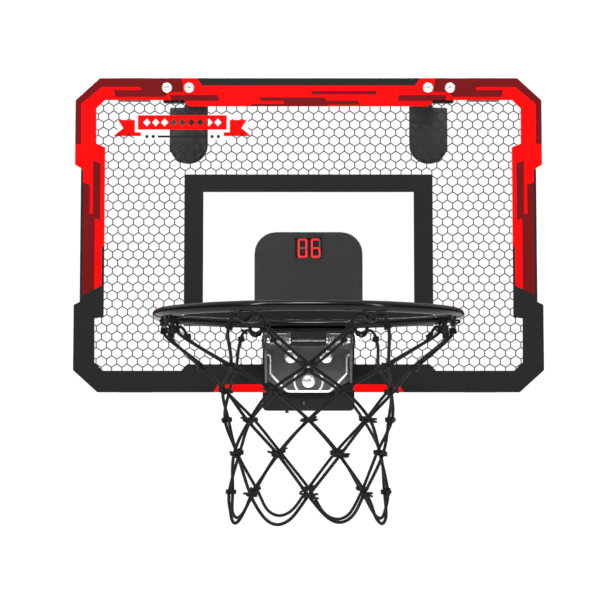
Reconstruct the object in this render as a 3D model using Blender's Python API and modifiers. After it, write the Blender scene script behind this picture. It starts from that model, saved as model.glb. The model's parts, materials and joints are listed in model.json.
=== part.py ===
"""Over-the-door basketball hoop: clear backboard, door hooks, electronic scorer, sprung rim and net.

Lengths in this script are millimetres and the helpers turn them into metres. +Z is up, +X is the
player's right and -Y faces the player. The origin is on the scorer's back face, at rim height.
"""

import math

import bmesh
import bpy
from mathutils import Matrix, Vector
from mathutils.geometry import interpolate_bezier

MM = 0.001
GAP = 0.3

# The door gap and the layers in front of it, along Y
DOOR_GAP = 45.0
SCORER_DEPTH = 20.0
BOARD_THICKNESS = 3.0
BOARD_REAR = -SCORER_DEPTH - GAP
BOARD_FRONT = BOARD_REAR - BOARD_THICKNESS
SHEET = 2.0

# Backboard outline, right half: (x, z, corner radius)
BOARD_HALF = (
    (189.0, 224.6, 2.0),
    (210.5, 204.6, 2.0),
    (210.5, 145.6, 1.0),
    (205.0, 142.6, 1.0),
    (205.0, 21.6, 1.0),
    (210.3, 19.2, 1.0),
    (210.3, -39.7, 2.0),
    (188.5, -59.3, 2.0),
)

# Door hooks
HOOK_INNER = 95.5
HOOK_WIDTH = 36.0
ARM_WIDTH = 21.5
ARM_MIDDLE_Z = 224.0
FLANGE_BOTTOM_Z = 202.0
SHOULDER_Z = 211.5
SHOULDER_RADIUS = 3.0
TONGUE_BOTTOM_Z = 157.8
BEND_RADIUS = 3.0
PAD_THICKNESS = 3.0
PAD_TOP_Z = 196.0
PAD_INSET = 1.2
HOOK_BOLT_XS = (-128.0, -108.0, 108.0, 128.0)
HOOK_BOLT_Z = 215.7
HOOK_BOLT_HOLE = 2.3

# Foam bumpers: centre (x, z) and size
BUMPERS = {
    "bumper_upper_left": (-160.0, 214.0),
    "bumper_upper_right": (160.0, 214.0),
    "bumper_lower_left": (-155.0, -49.5),
    "bumper_lower_right": (155.0, -49.5),
}
BUMPER_WIDTH = 30.0
BUMPER_HEIGHT = 14.0

# Scorer housing, right half: (x, z, corner radius)
SCORER_HALF = (
    (48.5, 84.8, 19.5),
    (48.5, 8.0, 4.0),
    (41.0, 1.0, 4.0),
    (41.0, -75.5, 4.0),
)
WALL = 2.0
COVER_THICKNESS = 2.7
SCREW_CENTRES = ((-37.5, 68.8), (37.5, 68.8), (-35.0, -68.0), (35.0, -68.0))
WINDOW = (-12.4, 12.4, 60.5, 79.8)
SENSOR_CENTRE = (-4.0, -69.0)
SWITCH_X = -19.4
SWITCH_Y = -10.0
SWITCH_TRAVEL = 3.0
BOARD_POSTS = ((-27.0, 43.0), (27.0, 43.0), (-27.0, 77.0), (27.0, 77.0))

# Battery bay in the rear cover, holding two AAA cells
CELL_DIAMETER = 10.5
CELL_LENGTH = 44.5
CELL_ZS = (12.9, 25.1)
CELL_Y = -9.4
BAY = (-23.5, 23.5, 7.0, 31.0)
BAY_FLOOR = -15.0
DOOR_RECESS = (-26.2, 26.2, 5.0, 33.0)
LID_THICKNESS = 1.7
LID_PIVOT = (-0.95, 6.25)

# Rim, hinge and bracket
RIM_RADIUS = 120.0
RIM_TUBE = 4.0
RING_STEPS = 80
TUBE_STEPS = 10
RIM_CENTRE_Y = BOARD_FRONT - 150.0
PIN_Y = BOARD_FRONT - 15.0
PIN_Z = -13.8
PIN_RADIUS = 2.5
EAR_OUTER = 38.7
KNUCKLE_HALF = 15.7
PLATE_HALF = 34.0
BRACKET_BOLTS = ((-15.8, -27.4), (15.8, -27.4), (0.0, -49.3))
BRACKET_BOLT_HOLE = 2.8
WASHER_THICKNESS = 2.0
SPRING_WIRE = 0.8
SPRING_RADIUS = 3.8
SPRING_TURNS = 7

# Net: (height, radius) of each row of knots, from the rim hooks down
HOOK_COUNT = 8
HOOK_PHASE = 22.5
NET_ROWS = (
    (-14.0, 117.0),
    (-41.2, 84.5),
    (-60.3, 71.0),
    (-82.9, 65.0),
    (-109.3, 61.4),
    (-139.7, 61.4),
    (-162.0, 62.0),
)
NET_CORD = 3.0


# --- scene and helpers -----------------------------------------------------------------------


def clear_scene():
    for obj in list(bpy.data.objects):
        bpy.data.objects.remove(obj, do_unlink=True)


def new_collection(name):
    collection = bpy.data.collections.new(name)
    bpy.context.scene.collection.children.link(collection)
    return collection


clear_scene()
PARTS = new_collection("door_basketball_hoop")
CUTTERS = new_collection("cutters")
CUTTERS.hide_render = True


def look(name, colour, roughness, metallic=0.0, alpha=1.0):
    made = bpy.data.materials.new(name)
    made.use_nodes = True
    shader = made.node_tree.nodes["Principled BSDF"]
    shader.inputs["Base Color"].default_value = (*colour, 1.0)
    shader.inputs["Roughness"].default_value = roughness
    shader.inputs["Metallic"].default_value = metallic
    shader.inputs["Alpha"].default_value = alpha
    return made


CLEAR = look("clear_polycarbonate", (0.9, 0.92, 0.93), 0.05, alpha=0.35)
BLACK_STEEL = look("black_painted_steel", (0.02, 0.02, 0.02), 0.35, 1.0)
RIM_BLACK = look("gloss_black_enamel", (0.01, 0.01, 0.01), 0.12, 0.5)
BRACKET_GREY = look("dark_grey_steel", (0.07, 0.07, 0.07), 0.4, 0.8)
BRIGHT_ZINC = look("bright_zinc", (0.8, 0.8, 0.82), 0.2, 1.0)
SPRING_STEEL = look("spring_steel", (0.35, 0.35, 0.36), 0.3, 1.0)
FOAM = look("dark_foam", (0.05, 0.05, 0.05), 0.95)
BLACK_ABS = look("black_abs", (0.025, 0.025, 0.025), 0.45)
SMOKED = look("smoked_window", (0.03, 0.01, 0.01), 0.08, alpha=0.6)
DISPLAY_BLACK = look("display_body", (0.015, 0.015, 0.015), 0.5)
BOARD_GREEN = look("circuit_green", (0.02, 0.16, 0.06), 0.5)
CELL_SHELL = look("cell_jacket", (0.55, 0.56, 0.58), 0.3, 0.7)
SENSOR_DARK = look("infrared_lens", (0.04, 0.005, 0.01), 0.1)
LEAD = look("wire_insulation", (0.5, 0.02, 0.02), 0.5)
CORD = look("net_cord", (0.02, 0.02, 0.02), 0.85)


def collected(obj, is_cutter=False):
    """Links the object as a part, or as a hidden cutter."""
    if is_cutter:
        CUTTERS.objects.link(obj)
        obj.hide_render = True
        obj.display_type = "WIRE"
    else:
        PARTS.objects.link(obj)
    return obj


def placed(name, mesh, finish, where, is_cutter=False):
    obj = bpy.data.objects.new(name, mesh)
    obj.location = Vector(where) * MM
    if finish:
        mesh.materials.append(finish)
    return collected(obj, is_cutter)


def smooth(mesh, angle=35.0):
    mesh.shade_smooth()
    mesh.set_sharp_from_angle(angle=math.radians(angle))


def baked(obj, name):
    """A mesh of the object as its modifiers leave it. The object is removed."""
    bpy.context.view_layer.update()
    graph = bpy.context.evaluated_depsgraph_get()
    mesh = bpy.data.meshes.new_from_object(obj.evaluated_get(graph))
    mesh.name = name
    bpy.data.objects.remove(obj, do_unlink=True)
    return mesh


def welded(mesh, distance):
    work = bmesh.new()
    work.from_mesh(mesh)
    bmesh.ops.remove_doubles(work, verts=work.verts, dist=distance)
    bmesh.ops.recalc_face_normals(work, faces=work.faces)
    work.to_mesh(mesh)
    work.free()


# Rotations that lay an outline drawn in (u, v) across the axis it is extruded along
ACROSS = {
    "X": Matrix(((0, 0, 1, 0), (1, 0, 0, 0), (0, 1, 0, 0), (0, 0, 0, 1))),
    "Y": Matrix(((1, 0, 0, 0), (0, 0, -1, 0), (0, 1, 0, 0), (0, 0, 0, 1))),
    "Z": Matrix.Identity(4),
}
DIRECTION = {"X": Vector((1, 0, 0)), "Y": Vector((0, 1, 0)), "Z": Vector((0, 0, 1))}


def prism_mesh(name, outline, span, across, holes=()):
    """A closed outline with holes, filled and extruded over span, a range of the axis it crosses."""
    curve = bpy.data.curves.new(name, "CURVE")
    curve.dimensions = "2D"
    curve.fill_mode = "BOTH"
    curve.extrude = (span[1] - span[0]) / 2
    for ring in (outline, *holes):
        spline = curve.splines.new("POLY")
        spline.points.add(len(ring) - 1)
        for point, (u, v) in zip(spline.points, ring):
            point.co = (u, v, 0.0, 1.0)
        spline.use_cyclic_u = True
    flat = bpy.data.objects.new(name, curve)
    CUTTERS.objects.link(flat)
    mesh = baked(flat, name)
    bpy.data.curves.remove(curve)
    welded(mesh, 0.001)
    mesh.transform(ACROSS[across])
    mesh.transform(Matrix.Translation(DIRECTION[across] * (span[0] + span[1]) / 2))
    mesh.transform(Matrix.Scale(MM, 4))
    return mesh


def prism(name, finish, outline, span, across="Y", holes=(), where=(0, 0, 0), is_cutter=False):
    mesh = prism_mesh(name, outline, span, across, holes)
    return placed(name, mesh, finish, where, is_cutter)


def turned_mesh(name, profile, axis, steps=24):
    """A profile of (radius, height), top to bottom, turned about the axis."""
    mesh = bpy.data.meshes.new(name)
    points = [(radius * MM, 0.0, height * MM) for radius, height in profile]
    mesh.from_pydata(points, [(i, i + 1) for i in range(len(points) - 1)], [])
    obj = bpy.data.objects.new(name, mesh)
    CUTTERS.objects.link(obj)
    screw = obj.modifiers.new("turn", "SCREW")
    screw.steps = steps
    screw.render_steps = steps
    screw.use_merge_vertices = True
    screw.merge_threshold = 0.00001
    made = baked(obj, name)
    welded(made, 0.000001)
    made.transform({"X": Matrix.Rotation(math.pi / 2, 4, "Y"),
                    "Y": Matrix.Rotation(-math.pi / 2, 4, "X"),
                    "Z": Matrix.Identity(4)}[axis])
    smooth(made)
    return made


def turned(name, finish, profile, axis, where, steps=24, is_cutter=False):
    return placed(name, turned_mesh(name, profile, axis, steps), finish, where, is_cutter)


def rod(name, radius, span, axis, where, steps=24):
    """A plain round cutter over a range of the axis."""
    low, high = span
    profile = ((0.0, high), (radius, high), (radius, low), (0.0, low))
    return turned(name, None, profile, axis, where, steps, is_cutter=True)


def block(name, box, span):
    """A cutter with a rectangle (x0, x1, z0, z1) over a range of Y."""
    return prism(name, None, rectangle(*box), span, is_cutter=True)


def wire(name, finish, points, radius):
    """A round wire along the points, with filled ends."""
    curve = bpy.data.curves.new(name, "CURVE")
    curve.dimensions = "3D"
    curve.bevel_depth = radius * MM
    curve.bevel_resolution = 2
    curve.use_fill_caps = True
    spline = curve.splines.new("POLY")
    spline.points.add(len(points) - 1)
    for point, place in zip(spline.points, points):
        point.co = (*(Vector(place) * MM), 1.0)
    curve.materials.append(finish)
    return collected(bpy.data.objects.new(name, curve))


def boolean(obj, operation, others):
    for other in others:
        step = obj.modifiers.new(f"{operation.lower()}_{other.name}", "BOOLEAN")
        step.operation = operation
        step.object = other
        step.solver = "EXACT"
    return obj


def bevelled(obj, width):
    step = obj.modifiers.new("edge", "BEVEL")
    step.width = width * MM
    step.segments = 1
    step.limit_method = "ANGLE"
    step.angle_limit = math.radians(50)
    return obj


def hang(obj, pivot):
    """Parents the object to the pivot without moving it."""
    obj.parent = pivot
    obj.location -= pivot.location


def pivot(name, where):
    empty = bpy.data.objects.new(name, None)
    empty.location = Vector(where) * MM
    PARTS.objects.link(empty)
    return empty


# --- outlines --------------------------------------------------------------------------------


def arc(u, v, radius, start, end, steps):
    angles = [math.radians(start + (end - start) * i / steps) for i in range(steps + 1)]
    return [(u + radius * math.cos(a), v + radius * math.sin(a)) for a in angles]


def circle(u, v, radius, steps=24):
    return arc(u, v, radius, 0.0, 360.0 * (steps - 1) / steps, steps - 1)


def rectangle(u0, u1, v0, v1):
    return [(u0, v0), (u1, v0), (u1, v1), (u0, v1)]


def rounded(corners, steps=4):
    """Rounds each corner (u, v, radius) of a closed outline with an arc."""
    outline = []
    count = len(corners)
    for i, (u, v, radius) in enumerate(corners):
        here = Vector((u, v))
        before = (Vector(corners[i - 1][:2]) - here).normalized()
        after = (Vector(corners[(i + 1) % count][:2]) - here).normalized()
        half = before.angle(after) / 2
        reach = radius / math.tan(half)
        centre = here + (before + after).normalized() * radius / math.sin(half)
        first = here + before * reach - centre
        turn = first.angle_signed(here + after * reach - centre)
        for step in range(steps + 1):
            spun = first.copy()
            spun.rotate(Matrix.Rotation(-turn * step / steps, 2))
            outline.append(tuple(centre + spun))
    return outline


def both_sides(half):
    """The whole corner list of a shape that is the same left and right."""
    return list(half) + [(-x, z, radius) for x, z, radius in reversed(half)]


def inset(half, wall):
    """The right half of an upright outline, moved in by a wall."""
    top = half[0][1]
    bottom = half[-1][1]
    moved = []
    for x, z, radius in half:
        shift = -wall if z == top else wall if z == bottom else 0.0
        moved.append((x - wall, z + shift, max(radius - wall, 1.0)))
    return moved


# --- fasteners -------------------------------------------------------------------------------


def hexagon(across_flats):
    return circle(0.0, 0.0, across_flats / math.sqrt(3), 6)


def bolt_mesh(name, shaft_radius, length, flats, head_height, flange_radius, axis="Y"):
    """A hexagon flange bolt. Its bearing face is at 0, and its shaft runs along +axis."""
    shaft = turned_mesh(
        name,
        ((0.0, length), (shaft_radius, length - 0.4), (shaft_radius, 0.0), (flange_radius, 0.0),
         (flange_radius, -0.6), (flange_radius - 0.9, -1.2), (0.0, -1.2)),
        axis,
        16,
    )
    body = placed(name, shaft, None, (0, 0, 0))
    head = prism("head", None, hexagon(flats), (-head_height, -0.8), axis, is_cutter=True)
    bevelled(head, 0.5)
    boolean(body, "UNION", [head])
    mesh = baked(body, name)
    bpy.data.objects.remove(head, do_unlink=True)
    smooth(mesh)
    return mesh


def nut_mesh(name, hole_radius, flats, height, axis="Y"):
    return prism_mesh(name, hexagon(flats), (0.0, height), axis,
                      [circle(0.0, 0.0, hole_radius, 16)])


# --- backboard and hooks ---------------------------------------------------------------------


def make_backboard():
    holes = [circle(x, HOOK_BOLT_Z, HOOK_BOLT_HOLE, 16) for x in HOOK_BOLT_XS]
    holes += [circle(x, z, BRACKET_BOLT_HOLE, 16) for x, z in BRACKET_BOLTS]
    outline = rounded(both_sides(BOARD_HALF), 2)
    return prism("backboard", CLEAR, outline, (BOARD_FRONT, BOARD_REAR), holes=holes)


def hook_path():
    """The middle line of the hook's sheet: flange up, arm back, tongue down, as (y, z) points."""
    front = BOARD_REAR + GAP + SHEET / 2
    back = DOOR_GAP + PAD_THICKNESS + SHEET / 2
    bend = ARM_MIDDLE_Z - BEND_RADIUS
    path = [(front, FLANGE_BOTTOM_Z)]
    path += arc(front + BEND_RADIUS, bend, BEND_RADIUS, 180, 90, 5)
    path += arc(back - BEND_RADIUS, bend, BEND_RADIUS, 90, 0, 5)
    path += [(back, SHOULDER_Z + SHOULDER_RADIUS * (1 - i / 4)) for i in range(5)]
    round_end = HOOK_WIDTH / 2
    foot = TONGUE_BOTTOM_Z + round_end
    path += [(back, foot + round_end * math.sin(math.radians(a))) for a in range(0, -91, -10)]
    return path


def hook_edges(y, z):
    """The sheet's inner and outer x, from the hook's inner edge, at one point of its path."""
    if y < 0 and z < ARM_MIDDLE_Z - BEND_RADIUS + 0.1:
        return 0.0, HOOK_WIDTH
    if y < DOOR_GAP or z > SHOULDER_Z + SHOULDER_RADIUS + 0.01:
        return 0.0, ARM_WIDTH
    if z > SHOULDER_Z - 0.01:
        rise = (z - SHOULDER_Z) / SHOULDER_RADIUS
        fillet = SHOULDER_RADIUS * (1 - math.sqrt(max(1 - (1 - rise) ** 2, 0.0)))
        return 0.0, ARM_WIDTH + fillet
    half = HOOK_WIDTH / 2
    drop = (TONGUE_BOTTOM_Z + half - z) / half
    reach = half * math.sqrt(max(1 - drop * drop, 0.0)) if drop > 0 else half
    return half - max(reach, 0.4), half + max(reach, 0.4)


def make_hook(name, side):
    """A strip of sheet steel bent over the door, wide on the board and down the door's far side."""
    rows = [(place, *hook_edges(*place)) for place in hook_path()]
    flange_top = (rows[0][0][0], ARM_MIDDLE_Z - BEND_RADIUS - 0.01)
    rows.insert(1, (flange_top, 0.0, HOOK_WIDTH))
    shoulder = next(i for i, row in enumerate(rows) if i > 8 and row[0][1] <= SHOULDER_Z + 0.001)
    rows.insert(shoulder + 1, ((rows[shoulder][0][0], SHOULDER_Z - 0.2), 0.0, HOOK_WIDTH))
    work = bmesh.new()
    pairs = []
    for (y, z), low, high in rows:
        ends = [work.verts.new(Vector((side * (HOOK_INNER + x), y, z)) * MM) for x in (low, high)]
        pairs.append(ends)
    for (a, b), (c, d) in zip(pairs, pairs[1:]):
        work.faces.new((a, b, d, c))
    mesh = bpy.data.meshes.new(name)
    work.to_mesh(mesh)
    work.free()
    welded(mesh, 0.000001)
    hook = placed(name, mesh, BLACK_STEEL, (0, 0, 0))
    sheet = hook.modifiers.new("sheet", "SOLIDIFY")
    sheet.thickness = SHEET * MM
    sheet.offset = 0.0
    sheet.use_even_offset = True
    xs = [x for x in HOOK_BOLT_XS if x * side > 0]
    sheet_y = BOARD_REAR + GAP + SHEET / 2
    holes = [rod(f"{name}_hole_{i}", HOOK_BOLT_HOLE, (-4, 4), "Y", (x, sheet_y, HOOK_BOLT_Z), 16)
             for i, x in enumerate(xs)]
    boolean(hook, "DIFFERENCE", holes)
    return hook


def make_hook_pad(name, side):
    """Foam stuck to the tongue, with the tongue's round end."""
    half = HOOK_WIDTH / 2 - PAD_INSET
    middle = side * (HOOK_INNER + HOOK_WIDTH / 2)
    foot = TONGUE_BOTTOM_Z + HOOK_WIDTH / 2
    outline = arc(middle, foot, half, 180, 360, 16)
    outline += [(middle + half, PAD_TOP_Z), (middle - half, PAD_TOP_Z)]
    prism(name, FOAM, outline, (DOOR_GAP, DOOR_GAP + PAD_THICKNESS - GAP))


def make_hook_fasteners():
    bolt = bolt_mesh("hook_bolt", 2.0, 12.0, 7.0, 3.4, 4.7)
    nut = nut_mesh("hook_nut", HOOK_BOLT_HOLE, 7.0, 3.2)
    bolt.materials.append(BRIGHT_ZINC)
    nut.materials.append(BRIGHT_ZINC)
    nut_face = BOARD_REAR + GAP + SHEET + GAP
    for number, x in enumerate(HOOK_BOLT_XS, 1):
        placed(f"hook_bolt_{number}", bolt, None, (x, BOARD_FRONT - GAP, HOOK_BOLT_Z))
        placed(f"hook_nut_{number}", nut, None, (x, nut_face, HOOK_BOLT_Z))


def make_bumper(name, x, z):
    half = BUMPER_WIDTH / 2
    rise = BUMPER_HEIGHT / 2
    corners = [(x + half, z + rise, 2.0), (x + half, z - rise, 2.0),
               (x - half, z - rise, 2.0), (x - half, z + rise, 2.0)]
    prism(name, FOAM, rounded(corners, 3), (BOARD_REAR + GAP, 0.0))


# --- scorer ----------------------------------------------------------------------------------


def boss(name, x, z, outer, inner, span):
    """A round boss with a hole, to be joined to a shell."""
    return prism(name, None, circle(x, z, outer, 12), span, holes=[circle(x, z, inner, 8)],
                 is_cutter=True)


def make_housing_front():
    """A shell open at the back, with a window, a sensor hole, bolt holes and a switch slot."""
    front = -SCORER_DEPTH
    back = -COVER_THICKNESS - GAP
    shell = prism("housing_front", BLACK_ABS, rounded(both_sides(SCORER_HALF), 6), (front, back))
    bevelled(shell, 0.8)
    hollow = prism("hollow", None, rounded(both_sides(inset(SCORER_HALF, WALL)), 6),
                   (front + WALL, 1.0), is_cutter=True)
    through = (front - 1, front + WALL + 1)
    holes = [hollow, block("window_hole", WINDOW, through)]
    holes.append(rod("sensor_hole", 2.6, (-3, 3), "Y", (SENSOR_CENTRE[0], front, SENSOR_CENTRE[1])))
    for number, (x, z) in enumerate(BRACKET_BOLTS):
        holes.append(rod(f"bolt_hole_{number}", BRACKET_BOLT_HOLE, (-3, 3), "Y",
                         (x, front + WALL / 2, z), 16))
    slot = (SWITCH_X - 2.0, SWITCH_X + 2.0 + SWITCH_TRAVEL)
    floor = SCORER_HALF[-1][1]
    holes.append(prism("switch_slot", None, rectangle(*slot, floor - 1, floor + WALL + 1),
                       (SWITCH_Y - 2.4, SWITCH_Y + 2.4), is_cutter=True))
    boolean(shell, "DIFFERENCE", holes)
    bosses = [boss(f"boss_{i}", x, z, 3.5, 1.5, (front + WALL - 0.5, back))
              for i, (x, z) in enumerate(SCREW_CENTRES)]
    posts = [rod(f"post_{i}", 2.5, (front + WALL - 0.5, -10.9), "Y", (x, 0, z), 10)
             for i, (x, z) in enumerate(BOARD_POSTS)]
    boolean(shell, "UNION", bosses + posts)


def make_housing_rear():
    """The flat back cover, with the battery bay and the sunk seat of its lid."""
    cover = prism("housing_rear", BLACK_ABS, rounded(both_sides(SCORER_HALF), 6),
                  (-COVER_THICKNESS, 0.0))
    x0, x1, z0, z1 = DOOR_RECESS
    bay = block("bay", (x0 - 1.3, x1 + 1.3, z0 - 1.5, z1 + 1.5), (BAY_FLOOR - 1.2, -1.5))
    boolean(cover, "UNION", [bay])
    cuts = [block("cells_room", BAY, (BAY_FLOOR, 1.0)),
            block("lid_seat", DOOR_RECESS, (-2.1, 1.0)),
            block("lead_slot", (21.5, 24.2, BAY[3] - 1, z1 + 3), (-8.6, -5.4))]
    for number, (x, z) in enumerate(SCREW_CENTRES):
        stepped = ((0.0, 2.0), (3.1, 2.0), (3.1, -1.9), (1.6, -1.9), (1.6, -4.0), (0.0, -4.0))
        cuts.append(turned(f"cover_hole_{number}", None, stepped, "Y", (x, 0, z), 16, True))
    boolean(cover, "DIFFERENCE", cuts)


def make_housing_screws():
    profile = ((0.0, -0.3), (2.0, -0.3), (2.7, -0.9), (2.7, -1.6), (1.2, -1.6), (1.2, -10.6),
               (0.0, -11.4))
    mesh = turned_mesh("housing_screw", profile, "Y", 16)
    mesh.materials.append(BRIGHT_ZINC)
    for number, (x, z) in enumerate(SCREW_CENTRES, 1):
        placed(f"housing_screw_{number}", mesh, None, (x, 0, z))


def make_display():
    x0, x1, z0, z1 = WINDOW
    front = -SCORER_DEPTH
    inner = (x0 + GAP, x1 - GAP, z0 + GAP, z1 - GAP)
    prism("display_window", SMOKED, rectangle(*inner), (front + 0.1, front + 1.6))
    prism("display_module", DISPLAY_BLACK, rectangle(*inner), (front + 2.1, front + 9.0))
    posts = [circle(x, z, 1.0, 10) for x, z in BOARD_POSTS]
    prism("circuit_board", BOARD_GREEN, rectangle(-30, 30, 40, 80), (-10.6, -9.0), holes=posts)
    profile = ((0.0, -3.2), (0.9, -3.2), (0.9, -4.0), (5.4, -4.0), (6.0, -4.6), (6.0, -8.7),
               (0.0, -8.7))
    turned("buzzer", DISPLAY_BLACK, profile, "Y", (18, 0, 54), 20)


def make_sensor():
    """A domed lens that looks out under the board, with a flange behind the wall."""
    front = -SCORER_DEPTH
    profile = ((0.0, 6.0), (2.3, 6.0), (3.3, 3.6), (3.3, 2.3), (2.3, 2.3), (2.3, 0.2),
               (1.7, -0.6), (0.9, -1.0), (0.0, -1.1))
    turned("ball_sensor", SENSOR_DARK, profile, "Y", (SENSOR_CENTRE[0], front, SENSOR_CENTRE[1]), 16)


def make_switch():
    """A slide button: a cap under the floor, a stem through the slot and a flange inside."""
    floor = SCORER_HALF[-1][1]
    outline = [(-1.6, floor - 0.4), (-1.6, floor - 2.0), (1.6, floor - 2.0), (1.6, floor - 0.4),
               (1.3, floor - 0.4), (1.3, floor + WALL + 0.4), (5.0, floor + WALL + 0.4),
               (5.0, floor + WALL + 1.6), (-3.4, floor + WALL + 1.6),
               (-3.4, floor + WALL + 0.4), (-1.3, floor + WALL + 0.4), (-1.3, floor - 0.4)]
    button = prism("power_switch", BLACK_ABS, outline, (-2.0, 2.0), where=(SWITCH_X, SWITCH_Y, 0))
    hang(button, pivot("switch_slide", (SWITCH_X, SWITCH_Y, floor)))


def make_batteries():
    half = CELL_LENGTH / 2
    radius = CELL_DIAMETER / 2
    profile = ((0.0, half), (1.9, half), (1.9, half - 1.2), (radius - 0.4, half - 1.2),
               (radius, half - 1.6), (radius, 0.4 - half), (radius - 0.4, -half), (0.0, -half))
    mesh = turned_mesh("battery", profile, "X", 20)
    mesh.materials.append(CELL_SHELL)
    for number, (z, turn) in enumerate(zip(CELL_ZS, (0.0, math.pi)), 1):
        cell = placed(f"battery_{number}", mesh, None, (0, CELL_Y, z))
        cell.rotation_euler.z = turn
    contact = (half + GAP, half + GAP + 0.6)
    plate = rectangle(-13.0, -4.5, 8.0, 30.0)
    prism("battery_contact_left", BRIGHT_ZINC, plate, (-contact[1], -contact[0]), "X")
    tabbed = [(-13.0, 8.0), (-4.5, 8.0), (-4.5, 30.0), (-6.0, 30.0), (-6.0, 34.0), (-8.0, 34.0),
              (-8.0, 30.0), (-13.0, 30.0)]
    prism("battery_contact_right", BRIGHT_ZINC, tabbed, contact, "X")


def make_battery_lid():
    """The lid turns out on its rounded lower edge."""
    x0, x1, _, z1 = DOOR_RECESS
    y, z = LID_PIVOT
    half = LID_THICKNESS / 2
    outline = arc(y, z, half, 180, 360, 8)
    outline += [(y + half, z1 - 0.4), (y - half, z1 - 0.4)]
    lid = prism("battery_door", BLACK_ABS, outline, (x0 + 0.4, x1 - 0.4), "X")
    hang(lid, pivot("battery_door_pivot", (0, y, z)))


def smooth_route(points, steps=6):
    """Points read from a smooth curve through the route's own points."""
    route = [Vector(point) for point in points]
    padded = [route[0] * 2 - route[1], *route, route[-1] * 2 - route[-2]]
    out = []
    for before, start, end, after in zip(padded, padded[1:], padded[2:], padded[3:]):
        first = start + (end - before) / 6
        second = end - (after - start) / 6
        out += interpolate_bezier(start, first, second, end, steps + 1)[:-1]
    return [*out, route[-1]]


def make_leads():
    sensor_route = [(-4, -13.4, -69), (-4, -10, -67), (-14, -9, -62), (-30, -9, -55),
                    (-33, -10, -40), (-33, -11, -10), (-33, -11, 20), (-31, -10.6, 34),
                    (-24, -9.8, 39.2)]
    wire("sensor_lead", LEAD, smooth_route(sensor_route, 3), 0.6)
    battery_route = [(22.8, -7, 35.2), (23, -5.4, 38), (23, -4.6, 42), (22, -6, 45.5),
                     (22, -8.4, 46.5)]
    wire("battery_lead", LEAD, smooth_route(battery_route, 4), 0.5)


# --- bracket, hinge and rim ------------------------------------------------------------------


def make_bracket():
    """A U of sheet steel: a web bolted to the board and two ears that carry the pin."""
    front = BOARD_FRONT - GAP - SHEET
    web_half = ((EAR_OUTER, -6.0, 1.0), (EAR_OUTER, -48.0, 2.0), (33.0, -51.0, 2.0),
                (20.0, -59.0, 3.0))
    holes = [circle(x, z, BRACKET_BOLT_HOLE, 16) for x, z in BRACKET_BOLTS]
    web = prism("rim_bracket", BRACKET_GREY, rounded(both_sides(web_half), 4),
                (front, front + SHEET), holes=holes)
    tip = PIN_Y - 6.5
    corners = [(front + 0.5, -6.0, 0.2), (front + 0.5, -51.0, 0.2), (front - 5, -51.0, 2.0),
               (tip, -24.0, 4.0), (tip, -6.0, 4.0)]
    ear_outline = rounded(corners, 4)
    pin_hole = [circle(PIN_Y, PIN_Z, PIN_RADIUS + GAP, 20)]
    ears = [prism("ear_left", None, ear_outline, (-EAR_OUTER, SHEET - EAR_OUTER), "X", pin_hole,
                  is_cutter=True),
            prism("ear_right", None, ear_outline, (EAR_OUTER - SHEET, EAR_OUTER), "X", pin_hole,
                  is_cutter=True)]
    boolean(web, "UNION", ears)


def make_bracket_fasteners():
    face = BOARD_FRONT - GAP - SHEET - GAP
    bolt = bolt_mesh("bracket_bolt", 2.5, 12.4, 8.0, 4.6, 5.8)
    nut = nut_mesh("bracket_nut", BRACKET_BOLT_HOLE, 8.0, 4.0)
    bolt.materials.append(BRIGHT_ZINC)
    nut.materials.append(BRIGHT_ZINC)
    for number, (x, z) in enumerate(BRACKET_BOLTS, 1):
        placed(f"bracket_bolt_{number}", bolt, None, (x, face, z))
        placed(f"bracket_nut_{number}", nut, None, (x, -SCORER_DEPTH + WALL + GAP, z))


def make_pin():
    """A long bolt through the ears and the knuckle, with a washer each side and a lock nut."""
    seat = EAR_OUTER + GAP + WASHER_THICKNESS + GAP
    head = prism("pin_head", None, hexagon(8.0), (-seat - 4.0, -seat), "X", is_cutter=True)
    profile = ((0.0, seat + 6.0), (PIN_RADIUS - 0.4, seat + 6.0), (PIN_RADIUS, seat + 5.6),
               (PIN_RADIUS, -seat - 1.0), (0.0, -seat - 1.0))
    pin = turned("hinge_pin", BRIGHT_ZINC, profile, "X", (0, PIN_Y, PIN_Z), 20)
    head.location = pin.location
    boolean(pin, "UNION", [bevelled(head, 0.5)])
    nut = nut_mesh("hinge_nut", PIN_RADIUS + GAP, 8.0, 4.4, "X")
    placed("hinge_nut", nut, BRIGHT_ZINC, (seat, PIN_Y, PIN_Z))
    ring = [circle(0.0, 0.0, PIN_RADIUS + GAP, 16)]
    for name, start in (("pin_washer_left", -seat + GAP), ("pin_washer_right", EAR_OUTER + GAP)):
        prism(name, BLACK_ABS, circle(0.0, 0.0, 4.6, 20), (start, start + WASHER_THICKNESS), "X",
              ring, (0, PIN_Y, PIN_Z))


def coil(side):
    """A torsion spring round the pin: a leg on the web, the turns, and a leg under the plate."""
    inner = KNUCKLE_HALF + 1.8
    outer = PLATE_HALF
    points = [(side * inner, PIN_Y + 11.2, PIN_Z - 6.4), (side * inner, PIN_Y + 4.0, PIN_Z - 4.3)]
    steps = 8 * SPRING_TURNS
    for step in range(steps + 1):
        along = inner + (outer - inner) * step / steps
        angle = math.radians(-90 - 360 * SPRING_TURNS * step / steps - 180 * step / steps)
        points.append((side * along, PIN_Y + SPRING_RADIUS * math.cos(angle),
                       PIN_Z + SPRING_RADIUS * math.sin(angle)))
    points.append((side * outer, PIN_Y - 7.0, PIN_Z + 4.6))
    points.append((side * (outer - 1.0), PIN_Y - 11.5, PIN_Z + 5.8))
    points.append((side * (outer - 3.0), PIN_Y - 13.0, PIN_Z + 5.9))
    points.append((side * (outer - 15.0), PIN_Y - 13.0, PIN_Z + 5.9))
    return points


def make_springs():
    wire("spring_left", SPRING_STEEL, coil(-1), SPRING_WIRE)
    wire("spring_right", SPRING_STEEL, coil(1), SPRING_WIRE)


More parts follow.
